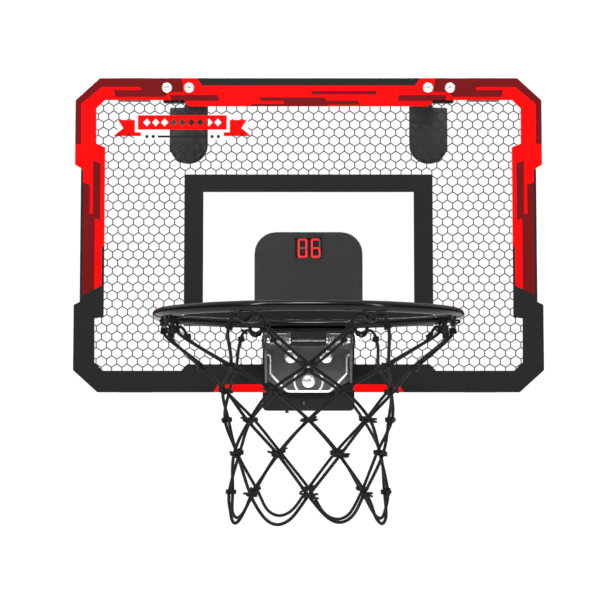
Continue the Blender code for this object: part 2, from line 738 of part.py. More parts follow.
def make_ring():
    bpy.ops.mesh.primitive_torus_add(
        major_segments=RING_STEPS, minor_segments=TUBE_STEPS, major_radius=RIM_RADIUS * MM,
        minor_radius=RIM_TUBE * MM, location=(0.0, RIM_CENTRE_Y * MM, 0.0))
    ring = bpy.context.object
    ring.name = "rim_ring"
    ring.data.materials.append(RIM_BLACK)
    ring.data.shade_smooth()
    for holder in list(ring.users_collection):
        holder.objects.unlink(ring)
    return collected(ring)


def make_hinge_plate():
    """The steel under the ring's back, with a neck that ends in the knuckle round the pin."""
    top = -RIM_TUBE - GAP
    bottom = top - 2.5
    front = RIM_CENTRE_Y + RIM_RADIUS - 10.0
    rear = PIN_Y - 8.5
    corners = [(PLATE_HALF, rear, 2.0), (PLATE_HALF, front, 2.0), (-PLATE_HALF, front, 2.0),
               (-PLATE_HALF, rear, 2.0)]
    plate = prism("rim_hinge_plate", BRACKET_GREY, rounded(corners, 3), (bottom, top), "Z")
    outer = PIN_RADIUS + GAP + 1.9
    knuckle = arc(PIN_Y, PIN_Z, outer, -150, 90, 16)
    knuckle += [(PIN_Y - 3.0, top), (rear - 4.0, top), (rear - 4.0, bottom)]
    neck = prism("neck", None, knuckle, (-KNUCKLE_HALF, KNUCKLE_HALF), "X",
                 [circle(PIN_Y, PIN_Z, PIN_RADIUS + GAP, 20)], is_cutter=True)
    return boolean(plate, "UNION", [neck])


def ring_point(angle, radius, z):
    spun = math.radians(angle)
    return (radius * math.cos(spun), RIM_CENTRE_Y + radius * math.sin(spun), z)


def make_net_hook(number):
    """A wire loop welded under the ring."""
    angle = HOOK_PHASE + 360.0 / HOOK_COUNT * (number - 1)
    centre = Vector(ring_point(angle, RIM_RADIUS, -RIM_TUBE - GAP))
    along = Vector((-math.sin(math.radians(angle)), math.cos(math.radians(angle)), 0.0))
    half = 5.2
    drop = 1.6
    loop = [centre - along * half]
    loop += [centre + along * u + Vector((0, 0, v - drop))
             for u, v in arc(0.0, 0.0, half, 180, 360, 6)]
    loop.append(centre + along * half)
    return wire(f"net_hook_{number}", RIM_BLACK, loop, 1.1)


def make_net():
    """A diamond lattice of cord, from just under the hooks down to the loops."""
    work = bmesh.new()
    rows = []
    for row, (z, radius) in enumerate(NET_ROWS):
        phase = HOOK_PHASE if row % 2 == 0 else 0.0
        rows.append([work.verts.new(Vector(ring_point(phase + 45.0 * k, radius, z)) * MM)
                     for k in range(HOOK_COUNT)])
    for row in range(len(rows) - 2):
        for k in range(HOOK_COUNT):
            left = rows[row + 1][k if row % 2 == 0 else (k - 1) % HOOK_COUNT]
            right = rows[row + 1][(k + 1) % HOOK_COUNT if row % 2 == 0 else k]
            work.faces.new((rows[row][k], left, rows[row + 2][k], right))
    bmesh.ops.recalc_face_normals(work, faces=work.faces)
    mesh = bpy.data.meshes.new("net")
    work.to_mesh(mesh)
    work.free()
    net = placed("net", mesh, CORD, (0, 0, 0))
    lattice = net.modifiers.new("lattice", "WIREFRAME")
    lattice.thickness = NET_CORD * MM
    lattice.offset = 0.0
    lattice.use_boundary = True
    lattice.use_replace = True
    lattice.use_even_offset = False
    return net


def make_rim():
    """Everything that swings with the rim hangs on an empty on the pin."""
    hinge = pivot("rim_pivot", (0, PIN_Y, PIN_Z))
    moving = [make_ring(), make_hinge_plate(), make_net()]
    moving += [make_net_hook(number) for number in range(1, HOOK_COUNT + 1)]
    for obj in moving:
        hang(obj, hinge)


def main():
    make_backboard()
    for name, side in (("left", -1), ("right", 1)):
        make_hook(f"hook_{name}", side)
        make_hook_pad(f"hook_pad_{name}", side)
    make_hook_fasteners()
    for name, (x, z) in BUMPERS.items():
        make_bumper(name, x, z)
    make_housing_front()
    make_housing_rear()
    make_housing_screws()
    make_display()
    make_sensor()
    make_switch()
    make_batteries()
    make_battery_lid()
    make_leads()
    make_bracket()
    make_bracket_fasteners()
    make_pin()
    make_springs()
    make_rim()


main()
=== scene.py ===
"""Looks of the over-the-door basketball hoop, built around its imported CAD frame.

Lengths in this script are millimetres unless a name says metres, and the helpers turn them into
metres. +Z is up, +X is the player's right and -Y faces the player. Places come from the frame.
"""

import json
import math
import random

import bmesh
import bpy
import numpy as np
from mathutils import Matrix, Vector


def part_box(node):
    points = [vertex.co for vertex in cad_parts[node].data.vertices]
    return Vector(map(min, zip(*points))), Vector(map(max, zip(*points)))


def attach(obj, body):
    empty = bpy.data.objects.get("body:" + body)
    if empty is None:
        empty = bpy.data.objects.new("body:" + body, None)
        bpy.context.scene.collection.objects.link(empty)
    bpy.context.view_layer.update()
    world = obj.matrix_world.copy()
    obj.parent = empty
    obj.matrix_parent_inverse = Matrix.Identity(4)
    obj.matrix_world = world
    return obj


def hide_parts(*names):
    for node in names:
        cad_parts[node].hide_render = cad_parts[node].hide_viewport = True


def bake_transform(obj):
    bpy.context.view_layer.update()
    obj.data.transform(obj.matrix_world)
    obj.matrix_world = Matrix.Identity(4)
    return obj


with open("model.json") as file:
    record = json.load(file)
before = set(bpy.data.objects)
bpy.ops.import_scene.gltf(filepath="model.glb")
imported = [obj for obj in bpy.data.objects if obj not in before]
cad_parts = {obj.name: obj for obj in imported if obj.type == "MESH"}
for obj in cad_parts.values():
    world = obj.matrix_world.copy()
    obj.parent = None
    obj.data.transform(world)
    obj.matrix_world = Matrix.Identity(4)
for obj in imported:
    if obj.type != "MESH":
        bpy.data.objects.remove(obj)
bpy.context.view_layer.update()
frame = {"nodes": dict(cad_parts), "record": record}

MM = 0.001
RNG = random.Random(7)


def edges_of(node):
    """A node's box in millimetres, as ((x0, x1), (y0, y1), (z0, z1))."""
    low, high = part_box(node)
    return [(a / MM, b / MM) for a, b in zip(low, high)]


BOARD = edges_of("backboard")
BOARD_FRONT = BOARD[1][0]
RING = edges_of("rim_ring")
# Radius of the ring's tube, which its faceted box makes a little flatter
RIM_TUBE = 4.0
RIM_RADIUS = (RING[0][1] - RING[0][0]) / 2 - RIM_TUBE
RIM_CENTRE_Y = (RING[1][0] + RING[1][1]) / 2


# --- camera, floor and light ---


# The lens in millimetres and the rest in metres and degrees, solved from the photo's view
LENS_LENGTH = 93.84
CAMERA_AT = (0.0, -1.4193, -0.0784)
CAMERA_TILT = 4.17
CAMERA_SHIFT = -0.0142

# The room by direction: from and to, and the brightness there
SKY = (-0.1, 0.7, 0.8, 1.0)
DARK_FRONT = (-0.93, -0.72, 0.1, 1.0)
MIRRORED_CEILING = (0.3, 0.62, 0.14, 1.0)
SEEN_WHITE = 1.08
WHITE = (1.0, 1.0, 1.0, 1.0)

# Rectangular lamps: place, target and size in metres, and power in watts
LAMPS = {
    "key": ((-1.3, -1.7, 1.5), (0, -0.1, 0.0), (0.15, 1.4), 24.0),
    "fill": ((1.6, -1.5, 0.7), (0, -0.1, 0.0), (0.18, 1.4), 12.0),
    "strip": ((0.0, -1.5, 1.3), (0, -0.17, 0.0), (0.8, 0.22), 26.0),
}
SUN_TURN = (math.radians(42), 0.0, math.radians(-14))
FLOOR_SIZE = 40.0
FLOOR_DROP = 0.62


def object_of(name, data):
    obj = bpy.data.objects.new(name, data)
    bpy.context.scene.collection.objects.link(obj)
    return obj


def make_camera():
    data = bpy.data.cameras.new("camera")
    data.lens = LENS_LENGTH
    data.sensor_width = 36.0
    data.shift_x = CAMERA_SHIFT
    camera = object_of("camera", data)
    camera.location = CAMERA_AT
    camera.rotation_euler = (math.radians(90 + CAMERA_TILT), 0.0, 0.0)
    bpy.context.scene.camera = camera


def plug(tree, value, socket):
    """Links an output to the socket, or sets a plain value on it."""
    if isinstance(value, bpy.types.NodeSocket):
        tree.links.new(value, socket)
    else:
        socket.default_value = value


def new_node(tree, kind, **inputs):
    made = tree.nodes.new(kind)
    for name, value in inputs.items():
        plug(tree, value, made.inputs[name.replace("_", " ")])
    return made


def mapped(tree, source, low, high, to_low, to_high):
    """The source from low to high becomes to_low to to_high."""
    made = new_node(tree, "ShaderNodeMapRange", Value=source, From_Min=low, From_Max=high,
                    To_Min=to_low, To_Max=to_high)
    return made.outputs["Result"]


def mixed(tree, factor, first, second):
    """The first shader where the factor is 0, the second where it is 1."""
    made = new_node(tree, "ShaderNodeMixShader", Fac=factor)
    tree.links.new(first.outputs[0], made.inputs[1])
    tree.links.new(second.outputs[0], made.inputs[2])
    return made.outputs[0]


def make_world():
    """White behind the object, and a room that is bright above and dark in front to light it.

    Mirrored in gloss, only the ceiling is bright. Rays through a clear sheet see the white.
    """
    world = bpy.data.worlds.new("studio")
    world.use_nodes = True
    tree = world.node_tree
    tree.nodes.clear()

    def reckoned(operation, *values):
        made = tree.nodes.new("ShaderNodeMath")
        made.operation = operation
        for socket, value in zip(made.inputs, values):
            plug(tree, value, socket)
        return made.outputs[0]

    generated = tree.nodes.new("ShaderNodeTexCoord").outputs["Generated"]
    direction = new_node(tree, "ShaderNodeSeparateXYZ", Vector=generated).outputs
    path = tree.nodes.new("ShaderNodeLightPath").outputs
    room = reckoned("MULTIPLY", mapped(tree, direction["Z"], *SKY),
                    mapped(tree, direction["Y"], *DARK_FRONT))
    dull = reckoned("SUBTRACT", 1.0, path["Is Glossy Ray"])
    mirrored_room = reckoned("MAXIMUM", dull, mapped(tree, direction["Z"], *MIRRORED_CEILING))
    strength = reckoned("MULTIPLY", room, mirrored_room)
    unmirrored = reckoned("LESS_THAN", path["Glossy Depth"], 0.5)
    through = reckoned("MULTIPLY", path["Is Transmission Ray"], unmirrored)
    either = reckoned("MAXIMUM", path["Is Camera Ray"], through)
    light = new_node(tree, "ShaderNodeBackground", Color=WHITE, Strength=strength)
    seen = new_node(tree, "ShaderNodeBackground", Color=WHITE, Strength=SEEN_WHITE)
    new_node(tree, "ShaderNodeOutputWorld", Surface=mixed(tree, either, light, seen))
    bpy.context.scene.world = world


def settled(work, name, outward=False):
    """The bmesh as a mesh, with its faces turned outward where asked."""
    if outward:
        bmesh.ops.recalc_face_normals(work, faces=work.faces)
    mesh = bpy.data.meshes.new(name)
    work.to_mesh(mesh)
    work.free()
    return mesh


def make_stage():
    work = bmesh.new()
    bmesh.ops.create_grid(work, x_segments=8, y_segments=8, size=FLOOR_SIZE)
    floor = object_of("floor", settled(work, "floor"))
    floor.location = (0.0, 0.0, -FLOOR_DROP)
    pale = bpy.data.materials.new("pale_floor")
    pale.use_nodes = True
    shader = pale.node_tree.nodes["Principled BSDF"]
    shader.inputs["Base Color"].default_value = (0.93, 0.93, 0.93, 1.0)
    shader.inputs["Roughness"].default_value = 0.9
    shader.inputs["Specular IOR Level"].default_value = 0.1
    floor.data.materials.append(pale)
    for name, (where, aim, size, power) in LAMPS.items():
        data = bpy.data.lights.new(name, "AREA")
        data.shape = "RECTANGLE"
        data.size, data.size_y = size
        data.energy = power
        lamp = object_of(name, data)
        lamp.location = where
        lamp.rotation_euler = (Vector(aim) - Vector(where)).to_track_quat("-Z", "Y").to_euler()
    sun = bpy.data.lights.new("sun", "SUN")
    sun.energy = 1.0
    sun.angle = 0.6
    object_of("sun", sun).rotation_euler = SUN_TURN


make_camera()
make_world()
make_stage()
bpy.context.scene.view_settings.view_transform = "Standard"


# --- materials ---


class Paint:
    """A Principled material with nodes added around it."""

    def __init__(self, name, colour, roughness, metallic=0.0, specular=0.5):
        self.material = bpy.data.materials.new(name)
        self.material.use_nodes = True
        self.tree = self.material.node_tree
        self.shader = self.tree.nodes["Principled BSDF"]
        self.set(Roughness=roughness, Metallic=metallic, Specular_IOR_Level=specular)
        self.colour = colour
        self.roughness = roughness
        self.place = self.tree.nodes.new("ShaderNodeTexCoord").outputs["Object"]

    def set(self, **inputs):
        """Plain values on the shader's own sockets."""
        for name, value in inputs.items():
            self.shader.inputs[name.replace("_", " ")].default_value = value
        return self

    def node(self, kind, **inputs):
        return new_node(self.tree, kind, **inputs)

    def stretched(self, scale):
        return self.node("ShaderNodeMapping", Vector=self.place, Scale=scale).outputs["Vector"]

    def noise(self, scale, detail=3.0, stretch=(1.0, 1.0, 1.0)):
        made = self.node("ShaderNodeTexNoise", Vector=self.stretched(stretch), Scale=scale,
                         Detail=detail, Roughness=0.55)
        return made.outputs["Fac"]

    def ramp(self, source, stops):
        """A colour ramp with stops of (position, colour)."""
        made = self.node("ShaderNodeValToRGB", Fac=source)
        elements = made.color_ramp.elements
        while len(elements) < len(stops):
            elements.new(0.5)
        for element, (position, colour) in zip(elements, stops):
            element.position = position
            element.color = (*colour, 1.0)
        return made.outputs["Color"]

    def spread(self, source, low, high):
        """The source from 0.3 to 0.7 becomes low to high."""
        return mapped(self.tree, source, 0.3, 0.7, low, high)

    def link(self, source, socket):
        self.tree.links.new(source, self.shader.inputs[socket])

    def mottled(self, scale, amount, warm=(1.0, 1.0, 1.0)):
        """Colour that drifts a little lighter and darker over the surface."""
        dark = tuple(c * (1 - amount) for c in self.colour)
        light = tuple(min(c * (1 + amount) * w, 1.0) for c, w in zip(self.colour, warm))
        self.link(self.ramp(self.noise(scale), [(0.3, dark), (0.7, light)]), "Base Color")
        return self

    def worn(self, scale, amount, stretch=(1.0, 1.0, 1.0)):
        low = max(self.roughness - amount, 0.02)
        high = min(self.roughness + amount, 1.0)
        self.link(self.spread(self.noise(scale, 4.0, stretch), low, high), "Roughness")
        return self

    def bumped(self, source, depth, strength):
        """Relief from the source, depth in millimetres."""
        made = self.node("ShaderNodeBump", Height=source, Strength=strength,
                         Distance=depth * MM)
        self.link(made.outputs["Normal"], "Normal")
        return self

    def grained(self, scale, detail, depth, strength, stretch=(1.0, 1.0, 1.0)):
        return self.bumped(self.noise(scale, detail, stretch), depth, strength)


def ink(name, colour):
    """Screen-printed ink: nearly even, with a faint mesh grain."""
    paint = Paint(name, colour, 0.5, specular=0.04).mottled(22, 0.04).worn(160, 0.08)
    return paint.grained(2600, 2.0, 0.01, 0.25).material


def moulded(name, colour, roughness, specular=0.35):
    """Injection-moulded plastic with a spark-eroded grain."""
    paint = Paint(name, colour, roughness, specular=specular).mottled(25, 0.05).worn(60, 0.04)
    return paint.grained(700, 2.0, 0.001, 0.25).material


def enamel(name, colour, roughness, orange_peel, specular=0.5, coat=0.6):
    """Baked paint on steel."""
    paint = Paint(name, colour, roughness, specular=specular).mottled(30, 0.2)
    paint.worn(90, roughness * 0.35).set(Coat_Weight=coat, Coat_Roughness=0.04)
    return paint.grained(420, 2.0, orange_peel, 0.4).material


def plated(name, colour, roughness):
    """Bright zinc, with the cloudiness of plating and fine scratches."""
    paint = Paint(name, colour, roughness, metallic=0.8).mottled(160, 0.1, (1.0, 1.0, 1.04))
    paint.worn(500, roughness * 0.5, (1.0, 6.0, 1.0))
    return paint.grained(900, 3.0, 0.02, 0.3, (1.0, 8.0, 1.0)).material


def sprung(name):
    """Drawn spring wire."""
    paint = Paint(name, (0.36, 0.36, 0.37), 0.26, metallic=1.0).mottled(90, 0.15)
    return paint.worn(300, 0.06).grained(1500, 2.0, 0.015, 0.4).material


def satin_steel(name):
    """Dark grey powder coat with a burnished sheen."""
    paint = Paint(name, (0.07, 0.07, 0.072), 0.4, metallic=0.35, specular=0.45)
    paint.mottled(60, 0.22).worn(140, 0.1, (1.0, 1.0, 3.0))
    return paint.grained(1100, 3.0, 0.008, 0.5).material


def foam(name, colour):
    """Closed-cell foam with open pores on its cut faces."""
    paint = Paint(name, colour, 0.5, specular=0.15).mottled(300, 0.3)
    cells = paint.node("ShaderNodeTexVoronoi", Vector=paint.place, Scale=900.0)
    return paint.bumped(cells.outputs["Distance"], 0.06, 0.5).material


def rope_fibre(name):
    """Twisted polyester: fine fibres that catch light along the strands."""
    paint = Paint(name, (0.0035, 0.0035, 0.0036), 0.5, specular=0.12)
    paint.mottled(900, 0.45).worn(1500, 0.12).set(Sheen_Weight=0.06, Sheen_Roughness=0.4)
    return paint.grained(3500, 3.0, 0.12, 0.8, (1.0, 1.0, 0.35)).material


def see_through(name, colour, roughness, ior):
    """Clear plastic that lets lamps through to what is behind it."""
    paint = Paint(name, colour, roughness)
    paint.set(Base_Color=(*colour, 1.0), Transmission_Weight=1.0, IOR=ior)
    paint.link(paint.spread(paint.noise(14, 2.0), roughness * 0.6, roughness * 1.4), "Roughness")
    shadow = paint.node("ShaderNodeLightPath").outputs["Is Shadow Ray"]
    clear = paint.node("ShaderNodeBsdfTransparent", Color=(*colour, 1.0))
    surface = paint.tree.nodes["Material Output"].inputs["Surface"]
    paint.tree.links.new(mixed(paint.tree, shadow, paint.shader, clear), surface)
    return paint.material


def glowing(name, colour, strength):
    """A lit display segment, its glow a little uneven in a fine grain."""
    paint = Paint(name, colour, 0.5).mottled(500, 0.1)
    grain = paint.ramp(paint.noise(900), [(0.3, tuple(c * 0.85 for c in colour)), (0.7, colour)])
    paint.link(grain, "Emission Color")
    return paint.set(Emission_Strength=strength).material


def cell_jacket():
    """A cell's printed sleeve: dark in the middle and brassy towards both ends."""
    paint = Paint("cell_jacket", (0.1, 0.1, 0.11), 0.28, metallic=0.6)
    split = paint.node("ShaderNodeSeparateXYZ", Vector=paint.place)
    band = paint.node("ShaderNodeMath", Value=split.outputs["X"])
    band.operation = "ABSOLUTE"
    dark = (0.035, 0.035, 0.04)
    brass = (0.6, 0.42, 0.1)
    colours = [(0.0, dark), (0.013, dark), (0.0132, brass), (0.03, brass)]
    paint.link(paint.ramp(band.outputs[0], colours), "Base Color")
    return paint.worn(120, 0.06).grained(800, 3.0, 0.01, 0.3).material


def circuit_green():
    """Solder mask over copper tracks."""
    paint = Paint("circuit_green", (0.01, 0.14, 0.05), 0.35)
    cells = paint.node("ShaderNodeTexBrick", Vector=paint.stretched((400.0, 400.0, 700.0)),
                       Color1=(0.006, 0.11, 0.035, 1.0), Color2=(0.008, 0.13, 0.04, 1.0),
                       Mortar=(0.02, 0.22, 0.08, 1.0))
    paint.link(cells.outputs["Color"], "Base Color")
    return paint.worn(200, 0.08).bumped(cells.outputs["Fac"], 0.03, 0.5).material


CLEAR = see_through("clear_polycarbonate", (0.996, 0.998, 0.998), 0.012, 1.45)
SMOKED = see_through("smoked_acrylic", (0.8, 0.68, 0.68), 0.04, 1.45)
INK_RED = ink("red_ink", (0.62, 0.0003, 0.0003))
INK_MAROON = ink("maroon_ink", (0.093, 0.003, 0.004))
INK_BLACK = ink("black_ink", (0.0105, 0.0105, 0.0108))
INK_LINE = ink("grey_ink", (0.012, 0.012, 0.013))
ABS = moulded("black_abs", (0.0135, 0.0135, 0.0138), 0.62, 0.05)
DISPLAY = moulded("display_black", (0.016, 0.016, 0.016), 0.6, 0.1)
HOOK_PAINT = enamel("hook_enamel", (0.012, 0.012, 0.012), 0.42, 0.04)
RIM_PAINT = enamel("rim_enamel", (0.002, 0.002, 0.002), 0.16, 0.006, 0.17, 0.06)
PLATE_PAINT = enamel("plate_enamel", (0.004, 0.004, 0.004), 0.35, 0.01, 0.12, 0.05)
BRACKET = satin_steel("bracket_steel")
# Painted highlight: bright zinc on the bracket's pressed ridge and dish, standing in for the shine
# along the edges of the dark steel
RIDGE_HIGHLIGHT = plated("ridge_painted_highlight", (0.95, 0.95, 0.95), 0.36)
ZINC = plated("bright_zinc", (0.9, 0.9, 0.91), 0.2)
SPRING = sprung("spring_wire")
PAD_FOAM = foam("pad_foam", (0.03, 0.03, 0.03))
BUMPER_FOAM = foam("bumper_foam", (0.03, 0.03, 0.03))
ROPE = rope_fibre("net_rope")
NYLON = moulded("black_nylon", (0.014, 0.014, 0.014), 0.4)
LED_ON = glowing("led_lit", (1.0, 0.01, 0.014), 1.15)
LED_OFF = moulded("led_unlit", (0.14, 0.14, 0.14), 0.5)
JACKET = cell_jacket()
CIRCUIT = circuit_green()
LENS = moulded("infrared_lens", (0.02, 0.004, 0.006), 0.12, 0.5)
WIRE_RED = moulded("wire_insulation", (0.45, 0.012, 0.012), 0.45)


# --- shape helpers ---


def finished(obj, material, body, slot, *nodes):
    """Gives a piece its material and its body, and hides the CAD nodes it stands for. The slot is
    not used.
    """
    obj.data.materials.clear()
    obj.data.materials.append(material)
    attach(obj, body)
    if nodes:
        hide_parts(*nodes)
    return obj


def released(obj):
    """The object's mesh. The object is removed."""
    mesh = obj.data
    bpy.data.objects.remove(obj, do_unlink=True)
    return mesh


def smooth(mesh, angle=35.0):
    mesh.shade_smooth()
    mesh.set_sharp_from_angle(angle=math.radians(angle))
    return mesh


def baked(obj):
    """The object's mesh as its modifiers leave it. The object is removed."""
    bpy.context.view_layer.update()
    graph = bpy.context.evaluated_depsgraph_get()
    mesh = bpy.data.meshes.new_from_object(obj.evaluated_get(graph))
    mesh.name = obj.name
    bpy.data.objects.remove(obj, do_unlink=True)
    return mesh


def stood_up(front, thickness):
    """Turns a flat shape in (x, y) millimetres to face the player, its front at a place in y."""
    turn = Matrix(((1, 0, 0, 0), (0, 0, -1, 0), (0, 1, 0, 0), (0, 0, 0, 1)))
    return Matrix.Scale(MM, 4) @ Matrix.Translation((0, front + thickness / 2, 0)) @ turn


def prism(name, outlines, front, thickness):
    """Outlines drawn in (x, z), filled and extruded back from a plane that faces the player."""
    curve = bpy.data.curves.new(name, "CURVE")
    curve.dimensions = "2D"
    curve.fill_mode = "BOTH"
    curve.extrude = thickness / 2
    for ring in outlines:
        spline = curve.splines.new("POLY")
        spline.points.add(len(ring) - 1)
        for point, (x, z) in zip(spline.points, ring):
            point.co = (x, z, 0.0, 1.0)
        spline.use_cyclic_u = True
    mesh = baked(object_of(name, curve))
    bpy.data.curves.remove(curve)
    work = bmesh.new()
    work.from_mesh(mesh)
    bmesh.ops.remove_doubles(work, verts=work.verts, dist=0.001)
    bmesh.ops.transform(work, matrix=stood_up(front, thickness), verts=work.verts)
    bmesh.ops.recalc_face_normals(work, faces=work.faces)
    work.to_mesh(mesh)
    work.free()
    return object_of(name, mesh)


def combined(obj, operation, others, solver="MANIFOLD"):
    """The object joined to, cut by or kept inside the others, which are removed."""
    for other in others:
        step = obj.modifiers.new(operation, "BOOLEAN")
        step.operation = operation
        step.object = other
        step.solver = solver
    name = obj.name
    mesh = baked(obj)
    for other in others:
        bpy.data.objects.remove(other, do_unlink=True)
    return object_of(name, mesh)


def bevelled(obj, width, segments=3, angle=30.0, flat=False):
    """The object with rounded edges. A clear plate is shaded flat, so that it doesn't distort."""
    step = obj.modifiers.new("edge", "BEVEL")
    step.width = width * MM
    step.segments = segments
    step.limit_method = "ANGLE"
    step.angle_limit = math.radians(angle)
    name = obj.name
    mesh = baked(obj)
    if flat:
        mesh.shade_flat()
        return object_of(name, mesh)
    smooth(mesh)
    obj = object_of(name, mesh)
    weigh = obj.modifiers.new("flat_faces_stay_flat", "WEIGHTED_NORMAL")
    weigh.keep_sharp = True
    return object_of(name, baked(obj))


def mirrored(half):
    """An outline's right half from its left half."""
    return [(-x, z) for x, z in reversed(half)]


def both(shapes):
    """Left-hand outlines, and the same outlines mirrored."""
    return list(shapes) + [mirrored(shape) for shape in shapes]


def arc(x, z, radius, start, end, steps):
    angles = [math.radians(start + (end - start) * i / steps) for i in range(steps + 1)]
    return [(x + radius * math.cos(a), z + radius * math.sin(a)) for a in angles]


def circle(x, z, radius, steps=32):
    return arc(x, z, radius, 0.0, 360.0 * (steps - 1) / steps, steps - 1)


def box_outline(x0, x1, z0, z1):
    return [(x0, z0), (x1, z0), (x1, z1), (x0, z1)]


def run_of(path):
    """How far along the path each of its points is."""
    return np.concatenate(([0.0], np.cumsum(np.linalg.norm(np.diff(path, axis=0), axis=1))))


def crosswise(path, closed):
    """Two directions across a path at each of its points, which don't spin along it."""
    ahead = np.roll(path, -1, axis=0) if closed else np.vstack((path[1:], path[-1:]))
    behind = np.roll(path, 1, axis=0) if closed else np.vstack((path[:1], path[:-1]))
    tangents = ahead - behind
    tangents /= np.linalg.norm(tangents, axis=1)[:, None]
    side = np.cross(tangents[0], (0.0, 0.0, 1.0))
    if np.linalg.norm(side) < 0.3:
        side = np.cross(tangents[0], (1.0, 0.0, 0.0))
    sides = []
    for tangent in tangents:
        side = side - tangent * side.dot(tangent)
        side = side / np.linalg.norm(side)
        sides.append(side)
    return np.array(sides), np.cross(tangents, sides)


def swept(name, path, radius, around, closed=False, lobes=0, lobe_depth=0.0, pitch=0.0):
    """A tube along a path in millimetres. Lobes wound at a pitch make it a twisted rope."""
    path = np.array(path, float)
    count = len(path)
    sides, ups = crosswise(path, closed)
    angles = np.linspace(0, 2 * math.pi, around, endpoint=False)
    radii = np.broadcast_to(np.asarray(radius, float), (count,))
    spin = 2 * math.pi * run_of(path) / pitch if pitch else np.zeros(count)
    reach = radii[:, None] * np.ones(around)
    if lobes:
        reach = reach * (1 - lobe_depth + lobe_depth * np.abs(np.cos(lobes * angles / 2)))
    turned = angles[None, :] + spin[:, None]
    offset = np.cos(turned)[..., None] * sides[:, None] + np.sin(turned)[..., None] * ups[:, None]
    points = (path[:, None] + offset * reach[..., None]).reshape(-1, 3) * MM
    faces = []
    for i in range(count if closed else count - 1):
        base = i * around
        following = (i + 1) % count * around
        for j in range(around):
            k = (j + 1) % around
            faces.append((base + j, base + k, following + k, following + j))
    if not closed:
        faces.append(tuple(range(around))[::-1])
        faces.append(tuple(range((count - 1) * around, count * around)))
    mesh = bpy.data.meshes.new(name)
    mesh.from_pydata(points.tolist(), [], faces)
    smooth(mesh, 60.0)
    work = bmesh.new()
    work.from_mesh(mesh)
    bmesh.ops.recalc_face_normals(work, faces=work.faces)
    work.to_mesh(mesh)
    work.free()
    return mesh


def rope(name, path, radius, around, pitch):
    """A twisted cord of three strands."""
    return swept(name, path, radius, around, lobes=3, lobe_depth=0.2, pitch=pitch)


def smooth_path(points, spacing):
    """A smooth curve through the points, read at an even spacing, in millimetres."""
    route = np.array(points, float)
    padded = np.vstack((2 * route[0] - route[1], route, 2 * route[-1] - route[-2]))
    fine = []
    for a, b, c, d in zip(padded, padded[1:], padded[2:], padded[3:]):
        t = np.linspace(0, 1, 24, endpoint=False)[:, None]
        fine.append(0.5 * (2 * b + (c - a) * t + (2 * a - 5 * b + 4 * c - d) * t * t
                           + (3 * b - 3 * c + d - a) * t ** 3))
    fine = np.vstack(fine + [route[-1:]])
    run = run_of(fine)
    even = np.linspace(0.0, run[-1], max(int(run[-1] / spacing), 4))
    return np.stack([np.interp(even, run, fine[:, i]) for i in range(3)], axis=1)


def joined(name, meshes):
    """One mesh from several."""
    work = bmesh.new()
    for mesh in meshes:
        work.from_mesh(mesh)
    return settled(work, name)


# --- net ---

HOOKS = 8
HOOK_PHASE = 22.5
HOOK_STEP = 360.0 / HOOKS
ROW_STEP = HOOK_STEP / 2
CORD = 2.8
CORD_SPACING = 0.9
CORD_EASING = 16
# Height and radius of each row of knots
NET_ROWS = ((-41.2, 84.5), (-60.3, 71.0), (-82.9, 65.0), (-109.3, 61.4), (-139.7, 61.4))
# Heights of the loops at the foot, anticlockwise from the hook at 22.5 degrees
FEET = (-162.4, -165.3, -162.5, -162.0, -163.0, -161.8, -160.2, -163.4)
FOOT_RADIUS = 62.0
# A loop at the foot: degrees from its lowest point, and rise
BOWL = ((-12.0, 6.8), (-5.5, 1.5), (0.0, 0.0), (5.5, 1.5), (12.0, 6.8))
# How far two cords stand in or out of the net's surface where they cross
CROSSING = 1.35
# The same for two cords side by side in a hook, up to this many degrees round from it
PASSING = 1.4
IN_HOOK = 1.0
# Through the hook, up beneath the ring and down to the tie: degrees, radius and height
LEAD = ((-1.8, 120.0, -9.6), (-0.2, 120.0, -8.8), (2.2, 119.6, -6.6), (4.4, 118.8, -5.8),
        (6.4, 118.0, -9.0), (7.5, 116.6, -14.4), (9.8, 111.6, -20.6))
# Ties: degrees round from the hook, then radius and height
TIE_ANGLE = 7.4
TIE = (116.3, -14.0)
# Coils: half-width along the rim, half-depth across it, turns, and length
KNOT_COIL = (3.9, 3.6, 2.4, 2.6)
TIE_COIL = (2.2, 2.3, 3.3, 4.4)
# Places of the eyes beside a hook, their height, and their radius
EYES = (-3.0, 10.4)
EYE_Z = -7.2
EYE_RADIUS = 2.3


def at_rim(angle, radius, z):
    turn = math.radians(angle)
    return np.array((radius * math.cos(turn), RIM_CENTRE_Y + radius * math.sin(turn), z))


def cord_stations(number):
    """A cord: from its hook past a tie and the knots, round the foot, and up to another hook."""
    start = HOOK_PHASE + HOOK_STEP * number
    foot = start + ROW_STEP * (len(NET_ROWS) + 1)
    down = [(start + angle, radius + PASSING * (angle < IN_HOOK), z) for angle, radius, z in LEAD]
    up = [(2 * foot - start - angle, radius - PASSING * (angle < IN_HOOK), z)
          for angle, radius, z in LEAD]
    for row, (z, radius) in enumerate(NET_ROWS, 1):
        lift = CROSSING if row % 2 else -CROSSING
        down.append((start + ROW_STEP * row, radius + lift, z))
        up.append((2 * foot - start - ROW_STEP * row, radius - lift, z))
    bottom = FEET[(number + 3) % HOOKS]
    bowl = [(foot + turn, FOOT_RADIUS, bottom + rise) for turn, rise in BOWL]
    return down + bowl + up[::-1]


def eased(path, rounds):
    """The path with its bends opened out. Its two ends stay where they are."""
    path = path.copy()
    for _ in range(rounds):
        path[1:-1] = (path[:-2] + 2 * path[1:-1] + path[2:]) / 4
    return path


def rope_work(name, meshes):
    return finished(object_of(name, joined(name, meshes)), ROPE, "rim", "net_cord")


